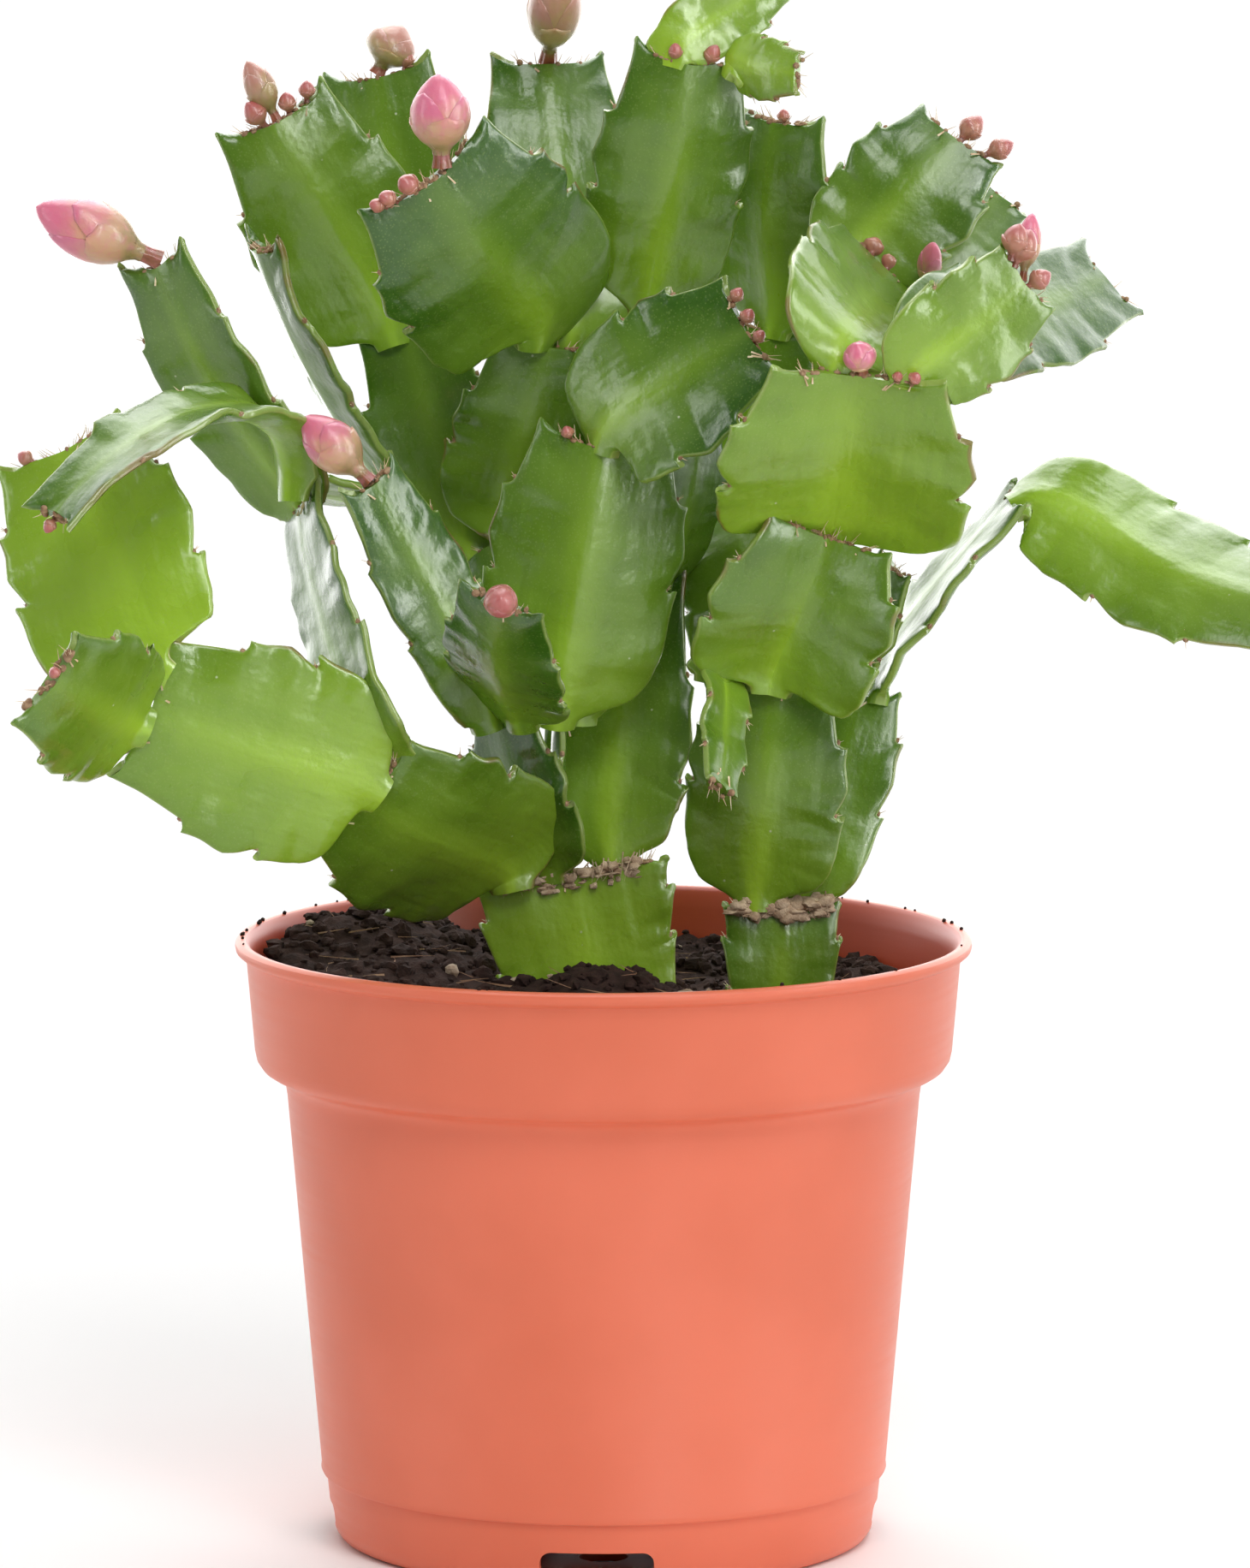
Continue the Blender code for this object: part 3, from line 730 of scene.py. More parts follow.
def bud_material(name, stalk, scale, middle, tip):
    material, nodes, links, shader = new_material(name)
    place = node(nodes, "ShaderNodeTexCoord")
    reading = node(nodes, "ShaderNodeAttribute", attribute_name="bud_share")
    blotches, dots = mottle(nodes, links, place.outputs["Object"], 260.0, 2400.0)
    wobble = math_node(nodes, links, "MULTIPLY", blotches, 0.12)
    height = math_node(nodes, links, "ADD", reading.outputs["Fac"], wobble)
    skin = mix_colour(nodes, links, ramp(nodes, links, height, 0.14, 0.32), stalk, scale)
    skin = mix_colour(nodes, links, ramp(nodes, links, height, 0.34, 0.60), skin, middle)
    skin = mix_colour(nodes, links, ramp(nodes, links, height, 0.60, 0.95), skin, tip)
    lines = noise_node(nodes, links, place.outputs["Object"], 700.0, 3.0)
    skin = mix_colour(nodes, links, ramp(nodes, links, lines, 0.45, 0.75, 0.0, 0.35), skin, tip)
    links.new(skin, shader.inputs["Base Color"])
    shader.inputs["Roughness"].default_value = 0.36
    shader.inputs["Subsurface Weight"].default_value = 0.2
    shader.inputs["Subsurface Radius"].default_value = (1.0, 0.4, 0.3)
    shader.inputs["Subsurface Scale"].default_value = 0.0015
    shader.inputs["Coat Weight"].default_value = 0.15
    bump(nodes, links, shader, lines, 0.35, 0.0004)
    return material


def pot_material(colours):
    material, nodes, links, shader = new_material("terracotta_plastic")
    place = node(nodes, "ShaderNodeTexCoord")
    blotches, dots = mottle(nodes, links, place.outputs["Object"], 28.0, 1500.0)
    warm = tuple(colours.terracotta)
    paler = tuple(min(1.0, c * 1.08 + 0.012) for c in warm)
    base = mix_colour(nodes, links, blotches, warm, paler)
    # Painted shade: faces that turn towards the pot's axis (the inner wall) are painted darker and redder than the
    # outer wall
    facing = node(nodes, "ShaderNodeNewGeometry")
    flat = node(nodes, "ShaderNodeVectorMath", operation="MULTIPLY")
    flat.inputs[1].default_value = (1.0, 1.0, 0.0)
    links.new(place.outputs["Object"], flat.inputs[0])
    away = node(nodes, "ShaderNodeVectorMath", operation="DOT_PRODUCT")
    links.new(flat.outputs["Vector"], away.inputs[0])
    links.new(facing.outputs["True Normal"], away.inputs[1])
    inside = ramp(nodes, links, away.outputs["Value"], -0.03, -0.01, 1.0, 0.0)
    base = mix_colour(nodes, links, inside, base, (warm[0] * 0.74, warm[1] * 0.46, warm[2] * 0.42))
    links.new(base, shader.inputs["Base Color"])
    scratch = node(nodes, "ShaderNodeMapping")
    scratch.inputs["Scale"].default_value = (30.0, 30.0, 900.0)
    links.new(place.outputs["Object"], scratch.inputs["Vector"])
    lines = noise_node(nodes, links, scratch.outputs["Vector"], 1.0, 3.0)
    rough = math_node(nodes, links, "ADD", math_node(nodes, links, "MULTIPLY", lines, 0.12), 0.30)
    links.new(rough, shader.inputs["Roughness"])
    shader.inputs["Specular IOR Level"].default_value = 0.3
    shader.inputs["Subsurface Weight"].default_value = 0.08
    shader.inputs["Subsurface Radius"].default_value = (1.0, 0.35, 0.2)
    shader.inputs["Subsurface Scale"].default_value = 0.002
    height = math_node(nodes, links, "ADD", math_node(nodes, links, "MULTIPLY", lines, 0.5), math_node(nodes, links, "MULTIPLY", dots, 0.08))
    bump(nodes, links, shader, height, 0.12, 0.0003)
    return material


# ---------------------------------------------------------------- small repeated shapes


def template(kind):
    """A small closed shape, modelled once: its points and its faces."""
    bpy.ops.object.select_all(action="DESELECT")
    if kind == "bristle":
        bpy.ops.mesh.primitive_cone_add(vertices=3, radius1=1.0, radius2=0.15, depth=1.0, location=(0, 0, 0.5))
    elif kind == "crumb":
        bpy.ops.mesh.primitive_ico_sphere_add(subdivisions=1, radius=1.0)
    elif kind == "lump":
        bpy.ops.mesh.primitive_ico_sphere_add(subdivisions=2, radius=1.0)
    elif kind == "bead":
        bpy.ops.mesh.primitive_uv_sphere_add(segments=16, ring_count=10, radius=1.0)
    obj = bpy.context.object
    if kind == "bristle":
        bpy.ops.object.mode_set(mode="EDIT")
        bpy.ops.mesh.select_all(action="SELECT")
        for height in (0.33, 0.66):
            bpy.ops.mesh.select_all(action="SELECT")
            bpy.ops.mesh.bisect(plane_co=(0, 0, height), plane_no=(0, 0, 1))
        bpy.ops.object.mode_set(mode="OBJECT")
    points = np.array([v.co[:] for v in obj.data.vertices])
    faces = [list(p.vertices) for p in obj.data.polygons]
    bpy.data.objects.remove(obj)
    return points, faces


class Heap:
    """Many placed copies of small shapes, gathered into one mesh."""

    def __init__(self):
        self.points, self.faces, self.count = [], [], 0

    def add(self, points, faces):
        self.points.append(points)
        self.faces += [[i + self.count for i in face] for face in faces]
        self.count += len(points)

    def piece(self, name):
        made = named_mesh(name, np.concatenate(self.points), self.faces)
        face_out(made)
        return made


def basis(direction, near=(0.0, 0.0, 1.0)):
    """Two unit directions square to this one."""
    direction = unit(np.asarray(direction, float))
    helper = np.asarray(near, float)
    if abs(np.dot(helper, direction)) > 0.95:
        helper = np.array((1.0, 0.0, 0.0))
    first = unit(np.cross(helper, direction))
    return first, np.cross(direction, first)


def bristle(shape, foot, direction, length, width, bend):
    points, faces = shape
    side, other = basis(direction)
    height = points[:, 2:3]
    placed = foot + points[:, 0:1] * width * side + points[:, 1:2] * width * other
    placed = placed + height * length * direction + (height**2) * bend * length * side
    return placed, faces


def add_bristles(blades, sizes, felt_material, bristle_material):
    """Felt lines and bristles at every apex, and a felt dot with a few bristles at every notch."""
    rng = random.Random(sizes.seed)
    hair, lump = template("bristle"), template("lump")
    hairs, felts = Heap(), Heap()
    for blade in blades:
        middle, along, front = blade.frame_at(LAST_RING)
        left = blade.surface(LAST_RING, -1.0, sizes)
        right = blade.surface(LAST_RING, 1.0, sizes)
        span = np.linalg.norm(right - left)
        for i in range(max(6, int(span / 0.0005))):
            share = rng.uniform(-0.98, 0.98)
            foot = blade.surface(LAST_RING, share, sizes) + front * rng.uniform(-0.001, 0.001)
            size = np.array((rng.uniform(0.00035, 0.0008), rng.uniform(0.00035, 0.0008), rng.uniform(0.0002, 0.00055)))
            across = unit(right - left)
            points = lump[0] * size
            placed = foot + points[:, 0:1] * across + points[:, 1:2] * front + points[:, 2:3] * along
            felts.add(placed, lump[1])
            if rng.random() < 0.75:
                lean = across * (share * 0.9 + rng.uniform(-0.6, 0.6)) + front * rng.uniform(-0.55, 0.55)
                direction = unit(along + lean)
                length = sizes.bristle_length * rng.uniform(0.35, 1.0)
                hairs.add(*bristle(hair, foot, direction, length, sizes.bristle_width, rng.uniform(-0.3, 0.3)))
        for notch in (5, 8):
            for side in (-1, 1):
                place = float(notch)
                foot = blade.surface(place, side, sizes)
                _, along_here, front_here = blade.frame_at(place)
                out = unit(foot - blade.surface(place, side * 0.8, sizes))
                points = lump[0] * np.array((0.0006, 0.00045, 0.00045))
                placed = foot + points[:, 0:1] * along_here + points[:, 1:2] * front_here + points[:, 2:3] * out
                felts.add(placed, lump[1])
                for i in range(rng.choice((1, 2, 2, 3))):
                    direction = unit(out + along_here * rng.uniform(0.1, 1.1) + front_here * rng.uniform(-0.6, 0.6))
                    length = sizes.bristle_length * rng.uniform(0.2, 0.6)
                    hairs.add(*bristle(hair, foot, direction, length, sizes.bristle_width, rng.uniform(-0.3, 0.3)))
    felt = felts.piece("areole_felt")
    smooth(felt)
    settle(felt, felt_material)
    hair_piece = hairs.piece("bristles")
    settle(hair_piece, bristle_material)


# Old wood where the pads leave a stump: node, number of lumps, size of a lump mm, hairs
CORK = (("stump_left", 220, 0.95, 34), ("stump_right", 190, 1.5, 10))


def add_cork(blades, sizes, material):
    """Crusts of old wood along the tops of the stumps, with short fibres."""
    rng = random.Random(sizes.seed + 3)
    by_node = {blade.node: blade for blade in blades}
    hair, lump = template("bristle"), template("lump")
    heap = Heap()
    for node_name, count, size, hairs in CORK:
        blade = by_node[node_name]
        _, along, front = blade.frame_at(LAST_RING)
        across = unit(blade.surface(LAST_RING, 1.0, sizes) - blade.surface(LAST_RING, -1.0, sizes))
        for number in range(count + hairs):
            share = rng.uniform(-0.8, 0.8) if node_name == "stump_left" else rng.uniform(-0.9, 0.95)
            foot = blade.surface(LAST_RING, share, sizes) + front * rng.uniform(-0.0012, 0.0022)
            if number < count:
                shift = Vector((number * 0.9, 0.3, 1.7))
                bulge = np.array([1 + 0.6 * noise.noise(Vector(p) * 1.1 + shift) for p in lump[0]])[:, None]
                stretch = np.array((rng.uniform(0.6, 1.9), rng.uniform(0.3, 0.9), rng.uniform(0.3, 1.1)))
                points = lump[0] * bulge * stretch * size * rng.uniform(0.4, 0.9) / 1000
                foot = foot + along * (rng.uniform(-0.0022, 0.0007) if rng.random() < 0.6 else rng.uniform(-0.0008, 0.0008))
                heap.add(foot + points[:, 0:1] * across + points[:, 1:2] * front + points[:, 2:3] * along, lump[1])
            else:
                direction = unit(front * rng.uniform(0.3, 0.8) - along * rng.uniform(0.4, 1.0) + across * rng.uniform(-0.5, 0.5))
                heap.add(*bristle(hair, foot + front * 0.001, direction, rng.uniform(0.003, 0.007), 0.00016, rng.uniform(-0.4, 0.4)))
    cork = heap.piece("old_wood")
    smooth(cork, 50)
    return settle(cork, material)


# ---------------------------------------------------------------- buds


BUD_OUTLINE = (
    (0.0, 0.36), (0.10, 0.29), (0.18, 0.30), (0.23, 0.42), (0.30, 0.68), (0.39, 0.88), (0.50, 0.99), (0.58, 1.0),
    (0.68, 0.94), (0.78, 0.80), (0.86, 0.62), (0.93, 0.41), (0.975, 0.24), (1.0, 0.05),
)


def bud_axis(node_name):
    """Foot, direction, length and radius of a CAD bud, from the ends of its longest extent."""
    points = np.array([v.co[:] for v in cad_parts[node_name].data.vertices])
    centre = points.mean(0)
    _, _, axes = np.linalg.svd(points - centre)
    direction = axes[0]
    reach = (points - centre) @ direction
    away = points - centre - np.outer(reach, direction)
    radius = np.linalg.norm(away, axis=1)
    low, high = reach.min(), reach.max()
    foot_size = radius[reach < low + 0.12 * (high - low)].mean()
    tip_size = radius[reach > high - 0.06 * (high - low)].mean()
    if foot_size < tip_size:
        direction, low, high = -direction, -high, -low
    return centre + direction * low, direction, high - low, radius.max()


def bud_radius(t):
    """Stalk, then an egg with a blunt tip, as a share of the bud's radius."""
    return float(np.interp(t, *zip(*BUD_OUTLINE)))


def bud_shell(direction, side, other, foot, length, radius, turn, spread, low, high, lift, columns=9, rows=12):
    """One scale that wraps part of a bud, as a closed shell: points and faces."""
    points = []
    for layer in (0, 1):
        for row in range(rows):
            v = row / (rows - 1)
            t = low + (high - low) * v
            half = spread * math.sqrt(max(0.0, 1 - v**2.6)) + 0.02
            for column in range(columns):
                w = 2 * column / (columns - 1) - 1
                angle = turn + w * half
                hug = lift * (0.35 + 0.65 * v) * (1 - 0.75 * w * w)
                size = radius * (bud_radius(t) * (1.01 + hug) + 0.012 - layer * 0.09)
                out = side * math.cos(angle) + other * math.sin(angle)
                points.append(foot + direction * length * (t - 0.02) + out * size)
    count = columns * rows
    faces = []
    for row in range(rows - 1):
        for column in range(columns - 1):
            a = row * columns + column
            quad = [a, a + 1, a + columns + 1, a + columns]
            faces += [quad, [i + count for i in reversed(quad)]]
    rim = [c for c in range(columns)]
    rim += [r * columns + columns - 1 for r in range(1, rows)]
    rim += [(rows - 1) * columns + c for c in range(columns - 2, -1, -1)]
    rim += [r * columns for r in range(rows - 2, 0, -1)]
    for a, b in zip(rim, rim[1:] + rim[:1]):
        faces.append([b, a, a + count, b + count])
    return np.array(points), faces


def add_bud(name, foot, direction, length, radius, material, nodes=(), rows=34, columns=32, scales=()):
    """A bud turned from its outline, wrapped in overlapping scales."""
    side, other = basis(direction)
    phase = random.Random(name).uniform(0, 6.28)
    points, faces, shares = [foot - direction * 0.02 * length], [], [0.0]
    for row in range(rows + 1):
        t = row / rows
        for column in range(columns):
            angle = math.tau * column / columns
            size = bud_radius(t) * radius
            if t < 0.2:
                size *= 1.0 + 0.10 * math.cos(angle * 6)
            else:
                size *= 1.0 + 0.02 * math.cos(angle * 3 + phase + t * 2)
            out = side * math.cos(angle) + other * math.sin(angle)
            points.append(foot + direction * length * (t - 0.02) + out * size)
            shares.append(t)
    points.append(foot + direction * length * 0.985)
    shares.append(1.0)
    for column in range(columns):
        after = (column + 1) % columns
        faces.append([0, 1 + after, 1 + column])
        faces.append([1 + rows * columns + column, 1 + rows * columns + after, len(points) - 1])
        for row in range(rows):
            a, b = 1 + row * columns + column, 1 + row * columns + after
            faces.append([a, b, b + columns, a + columns])
    heap = Heap()
    heap.add(np.array(points), faces)
    for turn, spread, low, high, lift in scales:
        shell = bud_shell(direction, side, other, foot, length, radius, phase + turn, spread, low, high, lift)
        heap.add(*shell)
        shares += [min(1.0, low + (high - low) * (0.35 + 0.85 * (i % 108) // 9 / 11)) for i in range(216)]
    bud = heap.piece(name)
    bud.data.attributes.new("bud_share", "FLOAT", "POINT").data.foreach_set("value", shares)
    smooth(bud, 60)
    return settle(bud, material, nodes)


# Buds that are still mostly olive and cream, or brownish pink
BUD_FINISHES = {"bud_21": "bud_young", "bud_22": "bud_young", "bud_23": "bud_young", "bud_12": "bud_scales"}

# Scales of a large bud: turn, half spread, lower end, upper end, lift
BUD_SCALES = (
    (0.0, 1.25, 0.14, 0.56, 0.10), (2.1, 1.25, 0.14, 0.52, 0.10), (4.2, 1.25, 0.14, 0.60, 0.10),
    (1.0, 1.15, 0.22, 0.80, 0.06), (3.1, 1.15, 0.22, 0.84, 0.06), (5.2, 1.15, 0.22, 0.78, 0.06),
)
SMALL_BUD_SCALES = ((0.0, 1.3, 0.16, 0.62, 0.12), (2.1, 1.3, 0.16, 0.66, 0.12), (4.2, 1.3, 0.16, 0.58, 0.12))


# Small buds without a CAD solid: pad, place along the apex, lean across, lean to the front, length mm, radius mm
SMALL_BUDS = (
    ("pad_27", 0.1, 0.0, 0.1, 6.0, 1.9), ("pad_27", 0.9, 0.5, 0.1, 5.5, 1.7),
    ("pad_29", 0.6, 0.5, 0.2, 6.5, 2.2), ("pad_29", 0.9, 0.9, 0.3, 6.0, 2.1), ("pad_29", -0.2, -0.1, 0.4, 4.6, 1.6),
    ("pad_32", 0.0, 0.1, 0.4, 4.6, 1.7), ("pad_32", 0.45, 0.2, 0.4, 4.4, 1.6), ("pad_32", -0.3, -0.2, 0.4, 3.6, 1.3),
    ("pad_20", -0.35, -0.3, 0.4, 5.0, 1.6), ("pad_20", -0.75, -0.5, 0.4, 4.2, 1.3), ("pad_20", -1.1, -0.7, 0.3, 3.6, 1.1),
    ("pad_21", 0.3, 0.2, 0.2, 5.4, 1.8), ("pad_21", -0.3, -0.3, 0.3, 4.0, 1.4), ("pad_21", -0.8, -0.5, 0.3, 3.6, 1.3),
    ("pad_30", 0.2, 0.3, 0.5, 3.2, 1.2), ("pad_30", 0.7, 0.4, 0.4, 3.0, 1.1), ("pad_30", -0.3, 0.1, 0.5, 2.8, 1.0),
    ("pad_24", -0.4, -0.3, 0.3, 4.0, 1.3), ("pad_24", 0.4, 0.2, 0.4, 3.4, 1.1),
    ("pad_33", 0.85, 0.4, 0.5, 2.6, 1.0), ("pad_33", 0.6, 0.1, 0.6, 2.2, 0.8), ("pad_7", -0.6, -0.8, 0.2, 3.2, 1.2),
    ("pad_8", -0.2, -0.3, 0.3, 2.4, 0.9), ("pad_5", 0.3, 0.0, 0.2, 3.0, 1.0), ("pad_13", 0.7, 0.6, 0.5, 2.6, 1.0),
    ("pad_26", -0.3, 0.0, 0.3, 2.6, 1.0), ("pad_22", 0.7, 0.5, 0.2, 3.4, 1.2), ("pad_43", 0.0, 0.2, 0.3, 3.2, 1.2),
)


def add_small_buds(blades, sizes, material):
    by_node = {blade.node: blade for blade in blades}
    made = []
    for number, (node_name, place, across_lean, front_lean, length, radius) in enumerate(SMALL_BUDS):
        blade = by_node[node_name]
        _, along, front = blade.frame_at(LAST_RING)
        across = unit(blade.surface(LAST_RING, 1.0, sizes) - blade.surface(LAST_RING, -1.0, sizes))
        share = max(-1.0, min(1.0, place))
        foot = blade.surface(LAST_RING, share, sizes) + across * (place - share) * 0.004 + front * 0.0006
        direction = unit(along + across * across_lean + front * front_lean)
        name = f"small_bud_{number + 1:02d}"
        made.append(
            add_bud(name, foot, direction, length / 1000, radius / 1000, material, (), 16, 14, SMALL_BUD_SCALES)
        )
    return made


# ---------------------------------------------------------------- soil


class SoilShape:
    """The CAD soil's top surface, with crumbly relief added."""

    def __init__(self):
        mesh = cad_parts["soil"].data
        points = [v.co.copy() for v in mesh.vertices]
        self.tree = BVHTree.FromPolygons(points, [tuple(p.vertices) for p in mesh.polygons])
        low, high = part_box("soil")
        self.radius = 0.5 * (high.x - low.x)
        self.middle = Vector((0.5 * (high.x + low.x), 0.5 * (high.y + low.y), 0))
        self.bottom = low.z
        self.top = high.z

    def base_height(self, x, y):
        hit = self.tree.ray_cast(Vector((x, y, self.top + 0.05)), Vector((0, 0, -1)))[0]
        return hit.z if hit is not None and hit.z > self.top - 0.02 else self.top - 0.004

    def height(self, x, y):
        place = Vector((x, y, 0)) * 1000
        coarse = noise.noise(place * 0.11) * 1.5
        lumps = noise.noise(place * 0.32 + Vector((5, 3, 1))) * 1.1
        fine = noise.noise(place * 0.9 + Vector((1, 7, 2))) * 0.45
        heap = 7.4 * math.exp(-(((x + 0.041) / 0.021) ** 2) - ((y - 0.022) / 0.026) ** 2)
        heap += 3.6 * math.exp(-(((x - 0.001) / 0.010) ** 2) - ((y + 0.012) / 0.009) ** 2)
        return self.base_height(x, y) + 0.001 * (heap + coarse + abs(lumps) * 1.2 - 0.5 + fine)


def add_soil(shape, material, steps=150):
    bpy.ops.object.select_all(action="DESELECT")
    bpy.ops.mesh.primitive_grid_add(x_subdivisions=steps, y_subdivisions=steps, size=2.0, calc_uvs=False)
    soil = bpy.context.object
    soil.name = soil.data.name = "potting_soil"
    radius = shape.radius - 0.0001
    for vertex in soil.data.vertices:
        x, y = vertex.co.x, vertex.co.y
        disc = Vector((x * math.sqrt(1 - y * y / 2), y * math.sqrt(1 - x * x / 2))) * radius
        vertex.co = (disc.x, disc.y, shape.height(disc.x, disc.y))
    only(soil)
    bpy.ops.object.mode_set(mode="EDIT")
    bpy.ops.mesh.select_all(action="SELECT")
    bpy.ops.mesh.region_to_loop()
    bpy.ops.mesh.extrude_region_move(TRANSFORM_OT_translate={"value": (0, 0, -0.012)})
    bpy.ops.transform.resize(value=(0.955, 0.955, 0.0), center_override=(0, 0, shape.top - 0.016))
    bpy.ops.mesh.edge_face_add()
    bpy.ops.mesh.select_all(action="SELECT")
    bpy.ops.mesh.normals_make_consistent(inside=False)
    bpy.ops.object.mode_set(mode="OBJECT")
    smooth(soil, 80)
    return settle(soil, material, ["soil"])


def add_crumbs(shape, sizes, dark, pale, fibre_material):
    rng = random.Random(sizes.seed + 1)
    crumb, lump, hair = template("crumb"), template("lump"), template("bristle")
    darks, pales, fibres = Heap(), Heap(), Heap()
    for i in range(sizes.crumb_count):
        distance = math.sqrt(rng.random()) * (shape.radius - 0.0012)
        angle = rng.uniform(0, math.tau)
        x, y = distance * math.cos(angle), distance * math.sin(angle)
        size = 0.0005 + 0.0013 * rng.random() ** 3
        source = crumb if size < 0.001 else lump
        shift = Vector((i * 0.7, 3.1, 0))
        bulge = np.array([1 + 0.5 * noise.noise(Vector(p) * 1.3 + shift) for p in source[0]])[:, None]
        stretch = np.array((rng.uniform(0.8, 1.5), rng.uniform(0.7, 1.2), rng.uniform(0.6, 1.0)))
        turn = rng.uniform(0, math.tau)
        spin = np.array(((math.cos(turn), -math.sin(turn), 0), (math.sin(turn), math.cos(turn), 0), (0, 0, 1)))
        points = (source[0] * bulge * stretch * size) @ spin.T
        points = points + np.array((x, y, shape.height(x, y) + size * 0.3))
        (pales if rng.random() < 0.035 and size < 0.0013 else darks).add(points, source[1])
    low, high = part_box("pot")
    for i in range(34):
        angle, size = rng.choice((rng.uniform(0.1, 1.3), rng.uniform(1.6, 3.3), rng.uniform(4.2, 6.2))), rng.uniform(0.00015, 0.00042)
        foot = np.array((math.cos(angle), math.sin(angle), 0.0)) * (high.x - rng.uniform(0.0009, 0.0017))
        darks.add(crumb[0] * size + foot + np.array((0.0, 0.0, high.z + size * 0.4)), crumb[1])
    for i in range(sizes.fibre_count):
        distance = math.sqrt(rng.random()) * (shape.radius - 0.006)
        angle = rng.uniform(0, math.tau)
        foot = np.array((distance * math.cos(angle), distance * math.sin(angle), 0.0))
        foot[2] = shape.height(foot[0], foot[1]) + 0.0004
        heading = rng.uniform(0, math.tau)
        direction = unit(np.array((math.cos(heading), math.sin(heading), rng.uniform(-0.05, 0.45))))
        fibres.add(*bristle(hair, foot, direction, rng.uniform(0.003, 0.009), rng.uniform(0.0001, 0.00024), rng.uniform(-0.5, 0.5)))
    for heap, name, material in ((darks, "soil_crumbs", dark), (pales, "soil_pale_bits", pale), (fibres, "soil_fibres", fibre_material)):
        piece = heap.piece(name)
        settle(piece, material)


# ---------------------------------------------------------------- pot


